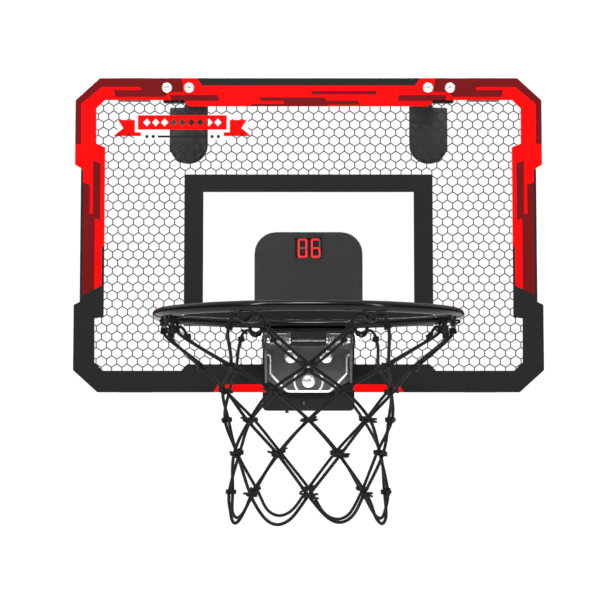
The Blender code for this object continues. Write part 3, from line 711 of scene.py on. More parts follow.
def make_net():
    for number in range(HOOKS):
        stations = np.array([at_rim(*station) for station in cord_stations(number)])
        path = eased(smooth_path(stations, CORD_SPACING), CORD_EASING)
        name = f"net_cord_{number + 1:02d}"
        cord = finished(object_of(name, rope(name, path, CORD / 2, 14, 6.0)), ROPE, "rim",
                        "net_cord", *(["net"] if number == 0 else []))
    hooks = [HOOK_PHASE + HOOK_STEP * k for k in range(HOOKS)]
    for row in range(1, len(NET_ROWS) + 1):
        rope_work(f"net_knots_{row}", [knot_mesh(row, hook + ROW_STEP * row) for hook in hooks])
    rope_work("net_ties", [tie_mesh(hook + side * TIE_ANGLE) for hook in hooks for side in (-1, 1)])
    rope_work("net_eyes", [eye_mesh(hook, offset) for hook in hooks for offset in EYES])


def compass(angle):
    """Outward and round directions of the rim at an angle, with up."""
    turn = math.radians(angle)
    outward = np.array((math.cos(turn), math.sin(turn), 0.0))
    return outward, np.array((-outward[1], outward[0], 0.0)), np.array((0.0, 0.0, 1.0))


def coil_path(centre, angle, tilt, wide, deep, turns, rise):
    """A tilted coil round a bundle of cords, from a random start. Tilt is in degrees."""
    outward, around, up = compass(angle)
    lean = math.radians(tilt)
    along = around * math.cos(lean) + up * math.sin(lean)
    normal = up * math.cos(lean) - around * math.sin(lean)
    steps = np.linspace(0.0, 1.0, int(22 * turns))
    spun = 2 * math.pi * turns * steps + RNG.uniform(0, 2 * math.pi)
    return [centre + along * wide * math.cos(a) + outward * deep * math.sin(a)
            + normal * rise * (t - 0.5) for a, t in zip(spun, steps)]


def knot_mesh(row, angle):
    """Cord wound round a crossing, with the stubs of its ends."""
    z, radius = NET_ROWS[row - 1]
    centre = at_rim(angle, radius, z)
    outward, around, up = compass(angle)
    tilt = RNG.uniform(-14, 14)
    meshes = [rope("wrap", coil_path(centre, angle, tilt, *KNOT_COIL), 0.9, 8, 5.0)]
    lean = math.radians(tilt)
    along = around * math.cos(lean) + up * math.sin(lean)
    for side, height in ((-1, 0.9), (1, 0.9), (1, -1.2)):
        reach = RNG.uniform(6.2, 8.2)
        start = centre + along * side * 2.8 + up * height + outward * 2.6
        end = centre + along * side * reach + up * (height + RNG.uniform(-1.3, 0.9)) + outward * 1.2
        middle = (start + end) / 2 + outward * 0.6
        stub = smooth_path([start, middle, end], 0.5)
        radii = np.interp(np.linspace(0, 1, len(stub)), (0, 0.6, 0.9, 1.0), (0.95, 0.95, 0.7, 0.3))
        meshes.append(swept("stub", stub, radii, 8))
    return joined("knot", meshes)


def tie_mesh(angle):
    """The turns that hold two cords together just under the rim."""
    path = coil_path(at_rim(angle, *TIE), angle, RNG.uniform(-20, 20), *TIE_COIL)
    return rope("tie", path, 0.8, 8, 5.0)


def eye_mesh(angle, offset):
    """A small bight of cord beneath the ring, beside a net hook."""
    outward, around, up = compass(angle)
    centre = at_rim(angle, RIM_RADIUS, EYE_Z) + around * offset
    lean = math.radians(RNG.uniform(25, 50)) * math.copysign(1, offset)
    flat = around * math.cos(lean) + up * math.sin(lean)
    turns = np.linspace(0, 2 * math.pi, 25)[:-1]
    ring = [centre + (flat * math.cos(a) + outward * math.sin(a)) * EYE_RADIUS for a in turns]
    return swept("eye", ring, 0.85, 8, closed=True)


make_net()


# --- copies of CAD nodes ---

BODY_OF = {node: body for body, members in frame["record"]["behaviour"]["bodies"].items()
           for node in members}
SLOT_OF = {part["node"]: part["material_slot"] for part in frame["record"]["subparts"]}


def cad_mesh(node):
    """A copy of a CAD node's mesh, with its triangles joined into flat faces."""
    work = bmesh.new()
    work.from_mesh(frame["nodes"][node].data)
    bmesh.ops.remove_doubles(work, verts=work.verts, dist=0.00001)
    bmesh.ops.dissolve_limit(work, angle_limit=math.radians(0.8), verts=work.verts,
                             edges=work.edges)
    return settled(work, f"{node}_detail")


def stand_in(obj, node, material):
    """The object takes a CAD node's body, and stands for it."""
    return finished(obj, material, BODY_OF[node], SLOT_OF[node], node)


def refined(node, material, width, segments=3):
    """A copy of a CAD node with rounded edges, in its place."""
    obj = object_of(f"{node}_detail", cad_mesh(node))
    obj = bevelled(obj, width, segments, flat=material in (CLEAR, SMOKED))
    return stand_in(obj, node, material)


def detailed(node, mesh, material):
    """A new mesh that stands for a CAD node."""
    return stand_in(object_of(f"{node}_detail", mesh), node, material)


def painted(node, material):
    """A CAD node that keeps its shape and takes a finish."""
    data = frame["nodes"][node].data
    data.materials.clear()
    data.materials.append(material)


# --- backboard and its prints ---

PRINT_DEPTH = 0.09
PRINT_FRONT = BOARD_FRONT - 0.12

# Outlines in (x, z). Halves are the left half, and those at 215 and 230 reach past the board
WINDOW_HALF = [(-108.4, -34.2), (-113.7, -39.9), (-183.3, -39.9), (-191.1, -32.5), (-191.4, 6.8),
               (-183.2, 8.1), (-183.2, 161.3), (-191.3, 164.8), (-191.6, 196.8), (-183.7, 204.4),
               (-113.0, 204.4), (-108.5, 198.7)]
RED_OUTER = [(-202.7, 27.7), (-202.7, 140.5), (-206.0, 142.5), (-215.0, 142.5), (-215.0, 230.0),
             (-105.2, 230.0), (-96.1, 217.7)]
RED_INNER = [(-170.0, 190.0), (-170.0, 73.0), (-183.2, 73.0), (-185.3, 71.1), (-185.3, 36.3)]
BOTTOM_STRIP = [(-86.3, -61.5), (-80.7, -52.1), (-41.5, -52.1), (-36.7, -61.5)]
MAROON_SIDES = [
    [(-215.0, 164.4), (-215.0, 230.0), (-115.7, 230.0), (-113.5, 219.2), (-113.4, 211.8),
     (-127.5, 211.8), (-129.5, 207.3), (-174.4, 207.3), (-176.2, 213.7), (-150.9, 213.7),
     (-152.3, 216.4), (-186.7, 216.4), (-205.2, 200.9), (-204.8, 164.4)],
    [(-125.3, 209.2), (-81.8, 209.2), (-80.4, 203.6), (-123.8, 203.6)],
    [(-202.7, 27.7), (-202.7, 129.2), (-196.6, 127.5), (-196.6, 101.3), (-193.9, 101.3),
     (-194.0, 149.7), (-187.1, 146.7), (-187.1, 95.1), (-191.8, 96.4), (-191.8, 33.1)],
]
MAROON_TOP = [
    [(1.1, 213.0), (60.6, 213.0), (61.9, 209.5), (3.8, 209.5)],
    [(-45.3, 207.0), (14.2, 207.0), (16.8, 204.0), (44.6, 204.0), (46.9, 200.1), (17.7, 200.1),
     (17.7, 198.8), (-52.3, 198.8), (-51.7, 201.0), (-21.7, 201.2), (-23.1, 203.7),
     (-43.1, 203.7)],
]
SQUARE_HALF_WIDTH = 111.6
SQUARE_TOP = 136.7
SQUARE_BAR = 17.1
# How much thinner than the upright bars the level ones are
SQUARE_THINNER = 1.1


# The plain ribbon, its tails, the hexagon-free patch behind it, and the row under it
RIBBON_MIDDLE = -113.85
RIBBON = (-153.9, -73.8, 177.5, 190.6)
RIBBON_TAIL = [(-171.9, 186.3), (-156.7, 186.3), (-156.6, 175.0), (-151.2, 175.0),
               (-151.1, 171.6), (-176.0, 171.6), (-167.1, 178.8)]
KNOCK_OUT = (-157.6, -69.0, 167.9, 191.6)
TAIL_REACH = 14.6
LOZENGES = 9
LOZENGE_HALF = (3.3, 3.6)
DOT_OFFSETS = (-31.9, -26.2, 26.9, 32.6)
DOT_RADIUS = 1.45
DOT_Z = 171.2
RULE_HALF = (22.0, 0.9)

# Hexagons: distance between cell middles across and up, height of an upright side, line width
HEX_PITCH = 9.25
HEX_ROW = 7.37
HEX_SIDE = 4.4
HEX_LINE = 0.86
HEX_ROW_Z = 130.5
HEX_ROWS = range(-25, 13)
HEX_COLUMNS = range(-23, 24)


def ink_cutter(outlines):
    return prism("cutter", outlines, PRINT_FRONT - 1.0, PRINT_DEPTH + 2.0)


def ink_sheet(name, outlines):
    return prism(name, outlines, PRINT_FRONT, PRINT_DEPTH)


def printed(obj, material, slot):
    smooth(obj.data, 20.0)
    return finished(obj, material, "root", slot)


def board_block():
    """The CAD plate, thickened and drawn in a little, to cut prints to its edge and holes."""
    mesh = cad_mesh("backboard")
    middle = Matrix.Translation((0.0, (BOARD_FRONT + 1.5) * MM, 80 * MM))
    mesh.transform(middle @ Matrix.Diagonal((0.9985, 3.0, 0.9985, 1.0)) @ middle.inverted())
    return object_of("board_block", mesh)


def window_outline():
    return WINDOW_HALF + mirrored(WINDOW_HALF)


def frame_sheet(name):
    """The whole printed border: the board without its window."""
    sheet = ink_sheet(name, [box_outline(-215, 215, -65, 230), window_outline()])
    return combined(sheet, "INTERSECT", [board_block()])


def red_area():
    upper = RED_OUTER + mirrored(RED_OUTER) + mirrored(RED_INNER) + RED_INNER
    return [upper] + both([BOTTOM_STRIP])


def maroon_area():
    return both(MAROON_SIDES) + MAROON_TOP


def make_border():
    black = combined(frame_sheet("print_border_black"), "DIFFERENCE", [ink_cutter(red_area())])
    red = combined(frame_sheet("print_border_red"), "INTERSECT", [ink_cutter(red_area())])
    red = combined(red, "DIFFERENCE", [ink_cutter(maroon_area())])
    maroon = combined(frame_sheet("print_border_maroon"), "INTERSECT",
                      [ink_cutter(maroon_area())])
    printed(black, INK_BLACK, "print_black")
    printed(red, INK_RED, "print_red")
    printed(maroon, INK_MAROON, "print_maroon")


def square_outline():
    return box_outline(-SQUARE_HALF_WIDTH, SQUARE_HALF_WIDTH, 0.0, SQUARE_TOP)


def make_square():
    half = SQUARE_HALF_WIDTH - SQUARE_BAR
    inner = box_outline(-half, half, SQUARE_BAR - SQUARE_THINNER,
                        SQUARE_TOP - SQUARE_BAR + SQUARE_THINNER)
    printed(ink_sheet("print_square", [square_outline(), inner]), INK_BLACK, "print_black")


def hexagon_mesh():
    """Outlines of hexagons in rows, each row shifted by half a cell, as one flat web of lines."""
    tip = HEX_ROW - HEX_SIDE / 2
    cell = [(0.0, tip), (HEX_PITCH / 2, HEX_SIDE / 2), (HEX_PITCH / 2, -HEX_SIDE / 2),
            (0.0, -tip), (-HEX_PITCH / 2, -HEX_SIDE / 2), (-HEX_PITCH / 2, HEX_SIDE / 2)]
    work = bmesh.new()
    corners = {}
    cells = []
    for row in HEX_ROWS:
        for column in HEX_COLUMNS:
            x = (column + 0.5 * (row % 2)) * HEX_PITCH
            z = HEX_ROW_Z + row * HEX_ROW
            ring = []
            for u, v in cell:
                key = (round(x + u, 2), round(z + v, 2))
                if key not in corners:
                    corners[key] = work.verts.new((x + u, z + v, 0.0))
                ring.append(corners[key])
            cells.append(work.faces.new(ring))
    work.normal_update()
    bmesh.ops.inset_individual(work, faces=cells, thickness=HEX_LINE / 2, use_even_offset=True)
    bmesh.ops.delete(work, geom=cells, context="FACES")
    return settled(work, "hexagons")


def knocked_out():
    """The clear patch behind the ribbon and its tails, where no hexagons are printed."""
    x0, x1, z0, z1 = KNOCK_OUT
    low = RIBBON_TAIL[2][1]
    high = RIBBON_TAIL[0][1]
    return [(x0, z0), (x1, z0), (x1, low), (x1 + TAIL_REACH, low), (x1 + TAIL_REACH, high),
            (x1, high), (x1, z1), (x0, z1), (x0, high), (x0 - TAIL_REACH, high),
            (x0 - TAIL_REACH, low), (x0, low)]


def make_hexagons():
    web = object_of("print_hexagons", hexagon_mesh())
    thicken = web.modifiers.new("ink", "SOLIDIFY")
    thicken.thickness = PRINT_DEPTH
    thicken.offset = 0.0
    mesh = baked(web)
    mesh.transform(stood_up(PRINT_FRONT, PRINT_DEPTH))
    area = ink_cutter([window_outline(), square_outline(), knocked_out()])
    web = combined(object_of("print_hexagons", mesh), "INTERSECT", [area])
    printed(web, INK_LINE, "print_black")


def lozenge(x, z, wide, high):
    return [(x - wide, z), (x, z - high), (x + wide, z), (x, z + high)]


def make_ribbon():
    """A ribbon with a row of lozenges left clear, over a rule between dots."""
    x0, x1, z0, z1 = RIBBON
    pitch = (x1 - x0) / (LOZENGES + 1)
    gaps = [lozenge(x0 + pitch * (i + 1), (z0 + z1) / 2, *LOZENGE_HALF) for i in range(LOZENGES)]
    far_tail = [(2 * RIBBON_MIDDLE - x, z) for x, z in reversed(RIBBON_TAIL)]
    ribbon = ink_sheet("print_ribbon", [box_outline(*RIBBON), RIBBON_TAIL, far_tail, *gaps])
    printed(ribbon, INK_RED, "print_red")
    marks = [circle(RIBBON_MIDDLE + offset, DOT_Z, DOT_RADIUS) for offset in DOT_OFFSETS]
    wide, high = RULE_HALF
    marks.append(box_outline(RIBBON_MIDDLE - wide, RIBBON_MIDDLE + wide, DOT_Z - high,
                             DOT_Z + high))
    printed(ink_sheet("print_dots", marks), INK_BLACK, "print_black")


refined("backboard", CLEAR, 0.35)
make_border()
make_square()
make_hexagons()
make_ribbon()


# --- turned pieces and fasteners ---

TURN_STEPS = 48
# Two directions across each axis, and the one along it
AXES = {
    "X": (Vector((0, 1, 0)), Vector((0, 0, 1)), Vector((1, 0, 0))),
    "Y": (Vector((0, 0, 1)), Vector((1, 0, 0)), Vector((0, 1, 0))),
}


def ring_of(work, axis, where, place, radius, angles):
    """New points round an axis, at a place along it."""
    u, v, w = AXES[axis]
    centre = Vector(where) + w * place
    return [work.verts.new((centre + (u * math.cos(a) + v * math.sin(a)) * radius) * MM)
            for a in angles]


def turned(name, profile, axis, where, closed=False):
    """A profile of (radius, place along the axis) turned about it, as a mesh object."""
    work = bmesh.new()
    steps = TURN_STEPS
    angles = [2 * math.pi * i / steps for i in range(steps)]
    rings = [ring_of(work, axis, where, place, radius, angles if radius else [0.0])
             for radius, place in profile]
    pairs = list(zip(rings, rings[1:]))
    if closed:
        pairs.append((rings[-1], rings[0]))
    for one, other in pairs:
        for i in range(steps):
            j = (i + 1) % steps
            ring = [one[i % len(one)], one[j % len(one)], other[j % len(other)],
                    other[i % len(other)]]
            work.faces.new(list(dict.fromkeys(ring)))
    return object_of(name, smooth(settled(work, name, outward=True)))


def hexagonal(name, flats, low, high, axis, where, twist):
    """A hexagonal bar over a range of the axis, with its corners turned off at both ends."""
    corner = flats / math.sqrt(3)
    work = bmesh.new()
    angles = [math.radians(60 * i + twist) for i in range(6)]
    near, far = [ring_of(work, axis, where, place, corner, angles) for place in (low, high)]
    work.faces.new(near)
    work.faces.new(far)
    for i in range(6):
        j = (i + 1) % 6
        work.faces.new((near[i], near[j], far[j], far[i]))
    bar = object_of(name, settled(work, name, outward=True))
    rim = corner * 1.02
    face = flats / 2 * 0.94
    turn_off = (rim - face) * 0.42
    lens = [(0.0, high), (face, high), (rim, high - turn_off), (rim, low + turn_off),
            (face, low), (0.0, low)]
    return combined(bar, "INTERSECT", [turned("lens", lens, axis, where)])


# Count, and how far the flange stands off the board. Bolt: flats, head, flange radius, thread
# radius and length. Nut: flats, height and bore radius
FASTENERS = {
    "hook": (4, 0.3, (7.0, 3.5, 4.7, 2.0, 12.0), (7.0, 3.2, 2.1)),
    "bracket": (3, 2.6, (8.0, 4.6, 5.8, 2.5, 12.4), (8.0, 4.0, 2.6)),
}
CROSS_HALF = (1.5, 0.28)
CROSS_TURN = 0.35


def threads(radius, start, end, pitch=0.8, depth=0.3):
    """The outline of a screw thread as rings, from start to end along the axis."""
    step = math.copysign(pitch, end - start)
    places = np.arange(start, end - step, step)
    points = []
    for place in places:
        points += [(radius, place), (radius - depth, place + step * 0.5)]
    return points + [(radius, end - step * 0.6), (radius - 0.45, end)]


def bolt(node, where, flats, head, flange, shaft, length, twist):
    """A flanged bolt, its domed hexagon head towards the player and its thread away."""
    profile = [(0.0, length)] + threads(shaft, 2.0, length)[::-1]
    profile += [(shaft, 0.0), (flange, 0.0), (flange, -0.35), (flange - 0.35, -0.75),
                (flats / 2 + 0.25, -1.35), (flats / 2 * 0.7, -1.5), (0.0, -1.5)]
    body = turned(node, profile, "Y", where)
    crown = hexagonal("head", flats, -head, -0.9, "Y", where, twist)
    dome = [(0.0, 0.4 - head)]
    dome += [(flats * 0.47 * math.sin(a), -head + 0.2 - 1.1 * math.cos(a))
             for a in np.linspace(math.pi / 2, 0.0, 9)]
    crown = combined(crown, "UNION", [turned("dome", dome, "Y", where)])
    made = bevelled(combined(body, "UNION", [crown]), 0.12, 2, 40.0)
    detailed(node, released(made), ZINC)


def nut(node, where, flats, height, bore, axis, twist, collar=0.0):
    """A hexagon nut, with a collar where it is a lock nut."""
    made = hexagonal(node, flats, 0.0, height - collar, axis, where, twist)
    if collar:
        rise = [(0.0, height - collar - 0.4), (flats * 0.44, height - collar - 0.4),
                (flats * 0.44, height - 0.5), (flats * 0.38, height), (0.0, height)]
        made = combined(made, "UNION", [turned("collar", rise, axis, where)])
    hole = [(0.0, -1.0), (bore + 0.5, -1.0), (bore + 0.5, 0.0), (bore, 0.5), (bore, height - 0.4),
            (bore + 0.35, height), (bore + 0.35, height + 1), (0.0, height + 1)]
    made = bevelled(combined(made, "DIFFERENCE", [turned("hole", hole, axis, where)]), 0.1, 2, 40)
    detailed(node, released(made), ZINC)


def middle_of(node):
    return [(low + high) / 2 for low, high in edges_of(node)]


def make_fasteners():
    for kind, (count, seat, bolt_sizes, nut_sizes) in FASTENERS.items():
        for number in range(1, count + 1):
            x, _, z = middle_of(f"{kind}_bolt_{number}")
            bolt(f"{kind}_bolt_{number}", (x, BOARD_FRONT - seat, z), *bolt_sizes,
                 RNG.uniform(0, 60))
            back = edges_of(f"{kind}_nut_{number}")[1][0]
            nut(f"{kind}_nut_{number}", (x, back, z), *nut_sizes, "Y", RNG.uniform(0, 60))
    for number in range(1, 5):
        housing_screw(number)


def housing_screw(number):
    """A countersunk screw with a cross recess, in the rear cover."""
    node = f"housing_screw_{number}"
    x, _, z = middle_of(node)
    profile = [(0.0, -11.4)] + threads(1.2, -1.8, -11.0, 0.9, 0.25)[::-1]
    profile += [(1.2, -1.6), (2.7, -1.5), (2.7, -0.9), (2.3, -0.45), (1.4, -0.28), (0.0, -0.25)]
    body = turned(node, profile, "Y", (x, 0.0, z))
    slots = []
    half, thin = CROSS_HALF
    for turn in (CROSS_TURN, CROSS_TURN + math.pi / 2):
        across = Vector((math.cos(turn), math.sin(turn)))
        side = Vector((-across.y, across.x))
        ring = [across * a * half + side * b * thin
                for a, b in ((1, 1), (-1, 1), (-1, -1), (1, -1))]
        slots.append(prism("slot", [[(x + p.x, z + p.y) for p in ring]], -1.1, 2.0))
    made = combined(body, "DIFFERENCE", slots, "EXACT")
    detailed(node, smooth(released(made)), ZINC)


make_fasteners()


# --- hooks, pads and bumpers ---

HOOK_SHEET = 2.0
ARM_WIDTH = 21.5
HOOK_WIDTH = 36.0
HOOK_BEND = 3.0
FLANGE_BOTTOM = 202.0
SHOULDER = 211.5
SHOULDER_FILLET = 3.0
CORNER = 2.0
TONGUE_TIP = 0.8
BOLT_HOLE = 2.3
FOAM_GRID = 0.7


def hook_rows(node):
    """(y, z, inner edge, outer edge) along the middle of the bent sheet, front flange to tongue."""
    _, (front, back), (foot, top) = edges_of(node)
    front += HOOK_SHEET / 2
    back -= HOOK_SHEET / 2
    top -= HOOK_SHEET / 2
    bend = top - HOOK_BEND
    half = HOOK_WIDTH / 2
    rows = []
    for turn in (0.0, 0.5, 1.0, math.pi / 2):
        inset = CORNER * (1 - math.sin(turn))
        rows.append((front, FLANGE_BOTTOM + CORNER * (1 - math.cos(turn)), inset,
                     HOOK_WIDTH - inset))
    rows.append((front, bend - 0.4, 0.0, HOOK_WIDTH))
    over = arc(front + HOOK_BEND, bend, HOOK_BEND, 180, 90, 12)
    over += arc(back - HOOK_BEND, bend, HOOK_BEND, 90, 0, 12)
    rows += [(y, z, 0.0, ARM_WIDTH) for y, z in over]
    for turn in np.linspace(0, math.pi / 2, 9):
        rise = SHOULDER_FILLET * (1 - math.sin(turn))
        flare = SHOULDER_FILLET * (1 - math.cos(turn))
        rows.append((back, SHOULDER + rise, 0.0, ARM_WIDTH + flare))
    rows.append((back, SHOULDER - 0.1, 0.0, HOOK_WIDTH - 1.0))
    rows.append((back, SHOULDER - 1.1, 0.0, HOOK_WIDTH))
    for turn in np.linspace(0, math.pi / 2, 25):
        reach = max(half * math.cos(turn), TONGUE_TIP)
        rows.append((back, foot + half * (1 - math.sin(turn)), half - reach, half + reach))
    return rows


def make_hook(node, side):
    """Sheet steel bent over the door, with rounded edges."""
    (x0, x1), (front, _), _ = edges_of(node)
    inner = x0 if side > 0 else -x1
    work = bmesh.new()
    pairs = []
    for y, z, low, high in hook_rows(node):
        pairs.append([work.verts.new(Vector((side * (inner + x), y, z)) * MM)
                      for x in (low, high)])
    for (a, b), (c, d) in zip(pairs, pairs[1:]):
        work.faces.new((a, b, d, c))
    sheet = object_of(node, settled(work, node))
    thicken = sheet.modifiers.new("sheet", "SOLIDIFY")
    thicken.thickness = HOOK_SHEET * MM
    thicken.offset = 0.0
    thicken.use_even_offset = True
    sheet = object_of(node, baked(sheet))
    holes = []
    for number in ((1, 2) if side < 0 else (3, 4)):
        x, _, z = middle_of(f"hook_bolt_{number}")
        profile = [(0.0, -4.0), (BOLT_HOLE, -4.0), (BOLT_HOLE, 4.0), (0.0, 4.0)]
        holes.append(turned("hole", profile, "Y", (x, front + 1.0, z)))
    sheet = bevelled(combined(sheet, "DIFFERENCE", holes, "EXACT"), 0.35, 3, 40.0)
    detailed(node, released(sheet), HOOK_PAINT)


def foam_block(node, width):
    """A foam piece with rounded edges and close, evenly spread points."""
    obj = bevelled(object_of(f"{node}_detail", cad_mesh(node)), width, 3, 40.0)
    remesh = obj.modifiers.new("points", "REMESH")
    remesh.mode = "VOXEL"
    remesh.voxel_size = FOAM_GRID * MM
    soften = obj.modifiers.new("soften", "SMOOTH")
    soften.iterations = 6
    soften.factor = 0.5
    mesh = baked(obj)
    mesh.shade_smooth()
    return object_of(f"{node}_detail", mesh)


def make_foam():
    for side in ("left", "right"):
        for node, material, width in ((f"hook_pad_{side}", PAD_FOAM, 0.7),
                                      (f"bumper_upper_{side}", BUMPER_FOAM, 1.2),
                                      (f"bumper_lower_{side}", BUMPER_FOAM, 1.2)):
            stand_in(foam_block(node, width), node, material)


make_hook("hook_left", -1)
make_hook("hook_right", 1)
make_foam()


# --- scorer ---

# Bars of the digits: width, gap between two, cut at a corner and the nick that rounds the cut
SEGMENT = 1.25
SEGMENT_GAP = 0.22
SEGMENT_CUT = 0.9
SEGMENT_NICK = 0.3
DIGIT_SIZE = (8.2, 16.8)
DIGIT_LEFTS = (-9.5, 2.4)
DIGIT_BOTTOM = 62.1
LIT = ("abcdef", "acdefg")
# The unlit point after a digit: aside from it, up from its foot, and radius
POINT = (0.9, 0.7, 0.6)
# How far the bars stand in front of the module, and their thickness
SEGMENT_FRONT = 0.18
SEGMENT_DEPTH = 0.24

# Copies of CAD nodes: finish, rounding of the edges and steps in it
CASE = {
    "housing_front": (ABS, 0.45, 3), "housing_rear": (ABS, 0.3, 3), "battery_door": (ABS, 0.25, 3),
    "power_switch": (NYLON, 0.25, 3), "display_window": (SMOKED, 0.15, 3),
    "display_module": (DISPLAY, 0.2, 3), "circuit_board": (CIRCUIT, 0.1, 3),
}
CELLS = {
    "battery_1": (JACKET, 0.2, 2), "battery_2": (JACKET, 0.2, 2),
    "battery_contact_left": (ZINC, 0.1, 2), "battery_contact_right": (ZINC, 0.1, 2),
    "buzzer": (DISPLAY, 0.2, 2),
}


def make_copies(copies):
    for node, (material, width, segments) in copies.items():
        refined(node, material, width, segments)


def segment_outlines(x, z):
    """The seven bars of a digit, by letter, with mitred ends and a cut outer corner."""
    wide, high = DIGIT_SIZE
    t, gap, cut, nick = SEGMENT, SEGMENT_GAP, SEGMENT_CUT, SEGMENT_NICK
    mid = z + high / 2
    top = z + high
    right = x + wide
    top_bar = [(x + cut, top), (right - cut, top), (right - cut + nick, top - 0.35),
               (right - t, top - t), (x + t, top - t), (x + cut - nick, top - 0.35)]
    upper = [(x, top - cut - gap), (x + nick, top - cut + nick - gap), (x + t, top - t - gap),
             (x + t, mid + t / 2 + gap), (x + t / 2, mid + gap), (x, mid + 0.5 + gap)]
    near, far = x + t + gap, right - t - gap
    middle = [(near - t / 2, mid), (near, mid + t / 2), (far, mid + t / 2), (far + t / 2, mid),
              (far, mid - t / 2), (near, mid - t / 2)]

    def flip_x(ring):
        return [(x + right - u, v) for u, v in reversed(ring)]

    def flip_z(ring):
        return [(u, 2 * mid - v) for u, v in reversed(ring)]

    return {"a": top_bar, "f": upper, "b": flip_x(upper), "g": middle, "d": flip_z(top_bar),
            "e": flip_z(upper), "c": flip_x(flip_z(upper))}


def make_digits():
    lit = []
    unlit = []
    aside, rise, radius = POINT
    for left, letters in zip(DIGIT_LEFTS, LIT):
        for letter, ring in segment_outlines(left, DIGIT_BOTTOM).items():
            (lit if letter in letters else unlit).append(ring)
        unlit.append(circle(left + DIGIT_SIZE[0] + aside, DIGIT_BOTTOM + rise, radius, 20))
    front = edges_of("display_module")[1][0] - SEGMENT_FRONT
    for slot, outlines, material in (("lit", lit, LED_ON), ("unlit", unlit, LED_OFF)):
        bars = prism(f"display_segments_{slot}", outlines, front, SEGMENT_DEPTH)
        finished(bars, material, "root", f"led_{slot}")


def make_lens():
    """The infrared lens: a dome with a shoulder."""
    x, _, z = middle_of("ball_sensor")
    front = edges_of("housing_front")[1][0]
    dome = [(2.3 * math.cos(math.radians(a)), 0.2 - 1.3 * math.sin(math.radians(a)))
            for a in range(0, 81, 8)]
    profile = [(0.0, 6.0), (2.2, 6.0), (2.9, 4.4), (3.3, 3.6), (3.3, 2.4), (2.3, 2.3)]
    lens = turned("ball_sensor", profile + dome + [(0.0, -1.1)], "Y", (x, front, z))
    detailed("ball_sensor", released(lens), LENS)


make_copies(CASE)
make_lens()
make_digits()
make_copies(CELLS)
painted("sensor_lead", WIRE_RED)
painted("battery_lead", WIRE_RED)


# --- bracket, pin, springs and rim ---

PIN = middle_of("hinge_pin")
PIN_HEAD = 4.0
PIN_RADIUS = 2.5
# Half the width and half the height of the knuckle's open middle
KNUCKLE_GAP = 14.9
PIN_SHOWS = 1.4
WEB_FRONT = BOARD_FRONT - 2.3
RIDGE_HALF = [(-37.2, -25.8), (-35.4, -26.4), (-34.4, -28.2), (-34.2, -41.4), (-33.4, -43.2),
              (-20.6, -56.3), (-18.0, -57.9), (-15.0, -58.3)]
RIDGE_RADIUS = 1.1
DISH_RADIUS = 12.6
DISH_EDGE = 0.95

SPRING_WIRE = 0.8
SPRING_RADIUS = 3.8
SPRING_TURNS = 7
TURN_POINTS = 20
# Where the turns begin and end, from the middle of the pin
SPRING_INNER = 17.5
SPRING_OUTER = 34.0
# The legs before and after the turns: inward from that end, and y and z from the pin
WEB_LEG = ((0.0, 11.2, -6.4), (0.0, 7.0, -5.3), (0.0, 4.0, -4.4))
PLATE_LEG = ((0.0, -3.6, 4.2), (0.0, -7.0, 4.6), (0.4, -10.6, 5.4), (3.0, -13.0, 5.9),
             (8.0, -13.0, 5.9), (15.0, -13.0, 5.9))

RING_STEPS = 288
RING_AROUND = 32
NET_HOOK_HALF = 5.2
NET_HOOK_WIRE = 1.1
NET_HOOK_ENDS = (-3.4, -4.4, -5.2)
NET_HOOK_DROP = 6.0


def make_bracket():
    """The bent sheet, with a pressed ridge along its web and a dish round the lower bolt; the ridge
    and dish are bright zinc, a painted highlight on the dark grey steel.
    """
    refined("rim_bracket", BRACKET, 0.4)
    ridge = [(x, WEB_FRONT - 0.1, z) for x, z in RIDGE_HALF + mirrored(RIDGE_HALF)]
    x, _, z = middle_of("bracket_bolt_3")
    dish = [(u, WEB_FRONT - 0.05, v) for u, v in arc(x, z, DISH_RADIUS, -46, 226, 70)]
    meshes = [swept("ridge", smooth_path(ridge, 0.7), RIDGE_RADIUS, 12),
              swept("dish", dish, DISH_EDGE, 12)]
    # The ridge and dish take bright zinc as a painted highlight
    finished(object_of("bracket_ridge_highlights", joined("bracket_ridge_highlights", meshes)), RIDGE_HIGHLIGHT, "root",
             "bracket_steel")


def make_pin():
    """The long bolt that the rim turns on, its washers and its lock nut."""
    x0, x1 = edges_of("hinge_pin")[0]
    on_axis = (0, PIN[1], PIN[2])
    profile = [(0.0, x1)] + threads(PIN_RADIUS, x1 - 8.0, x1)[::-1]
    profile += [(PIN_RADIUS, x1 - 8.4), (PIN_RADIUS, x0 + PIN_HEAD), (0.0, x0 + PIN_HEAD)]
    shaft = turned("hinge_pin", profile, "X", on_axis)
    crown = hexagonal("crown", 8.0, x0, x0 + PIN_HEAD + 0.2, "X", on_axis, 12.0)
    made = bevelled(combined(shaft, "UNION", [crown]), 0.12, 2, 40.0)
    detailed("hinge_pin", released(made), ZINC)
    seat = edges_of("hinge_nut")[0][0]
    nut("hinge_nut", (seat, PIN[1], PIN[2]), 8.0, 4.4, 2.6, "X", 8.0, collar=1.2)
    for node in ("pin_washer_left", "pin_washer_right"):
        low, high = edges_of(node)[0]
        profile = [(2.8, low), (4.3, low), (4.6, low + 0.3), (4.6, high - 0.3), (4.3, high),
                   (2.8, high)]
        detailed(node, released(turned(node, profile, "X", on_axis, closed=True)), NYLON)


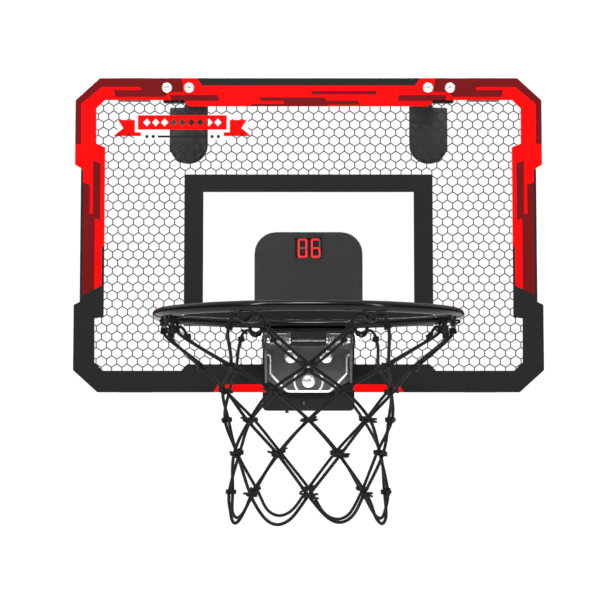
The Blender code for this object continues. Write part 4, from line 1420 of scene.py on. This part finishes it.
def spring_path(side):
    """A leg on the web, the turns round the pin, and a leg under the rim's plate."""
    _, y, z = PIN
    web_leg = [(side * (SPRING_INNER - u), y + v, z + w) for u, v, w in WEB_LEG]
    plate_leg = [(side * (SPRING_OUTER - u), y + v, z + w) for u, v, w in PLATE_LEG]
    coil = []
    for share in np.linspace(0, 1, TURN_POINTS * SPRING_TURNS + 1):
        angle = math.radians(-90 - 360 * SPRING_TURNS * share - 180 * share)
        coil.append((side * (SPRING_INNER + (SPRING_OUTER - SPRING_INNER) * share),
                     y + SPRING_RADIUS * math.cos(angle), z + SPRING_RADIUS * math.sin(angle)))
    return smooth_path(web_leg + coil + plate_leg, 0.35)


def make_springs():
    for name, side in (("spring_left", -1), ("spring_right", 1)):
        coil = swept(f"{name}_detail", spring_path(side), SPRING_WIRE, 12)
        obj = object_of(coil.name, coil)
        obj.data.materials.append(SPRING)
        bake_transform(obj)
        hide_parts(name)


def make_ring():
    angles = np.arange(RING_STEPS) * 360.0 / RING_STEPS
    path = [at_rim(angle, RIM_RADIUS, 0.0) for angle in angles]
    detailed("rim_ring", swept("ring", path, RIM_TUBE, RING_AROUND, closed=True), RIM_PAINT)


def make_net_hooks():
    """A hoop of wire under the ring at each of the net's places, thicker at its welded ends."""
    half = NET_HOOK_HALF
    for number in range(HOOKS):
        angle = HOOK_PHASE + HOOK_STEP * number
        _, around, up = compass(angle)
        centre = at_rim(angle, RIM_RADIUS, 0.0)
        loop = [centre - around * half + up * z for z in NET_HOOK_ENDS]
        loop += [centre + around * half * math.cos(a) + up * (half * math.sin(a) - NET_HOOK_DROP)
                 for a in np.radians(np.linspace(180, 360, 17))]
        loop += [centre + around * half + up * z for z in NET_HOOK_ENDS[::-1]]
        path = smooth_path(loop, 0.5)
        run = run_of(path)
        from_end = np.minimum(run, run[-1] - run)
        radii = NET_HOOK_WIRE + 0.9 * np.exp(-(from_end / 1.2) ** 2)
        detailed(f"net_hook_{number + 1}", swept("hook", path, radii, 14), RIM_PAINT)


def make_knuckle():
    """The rim's plate, with the middle of its knuckle open in front so that the pin shows."""
    plate = object_of("plate", cad_mesh("rim_hinge_plate"))
    _, y, z = PIN
    gap = prism("gap", [box_outline(-KNUCKLE_GAP, KNUCKLE_GAP, z - PIN_SHOWS, z + PIN_SHOWS)],
                y - 12.0, 12.0)
    plate = bevelled(combined(plate, "DIFFERENCE", [gap], "EXACT"), 0.3)
    detailed("rim_hinge_plate", released(plate), PLATE_PAINT)


make_bracket()
make_pin()
make_springs()
make_knuckle()
make_ring()
make_net_hooks()
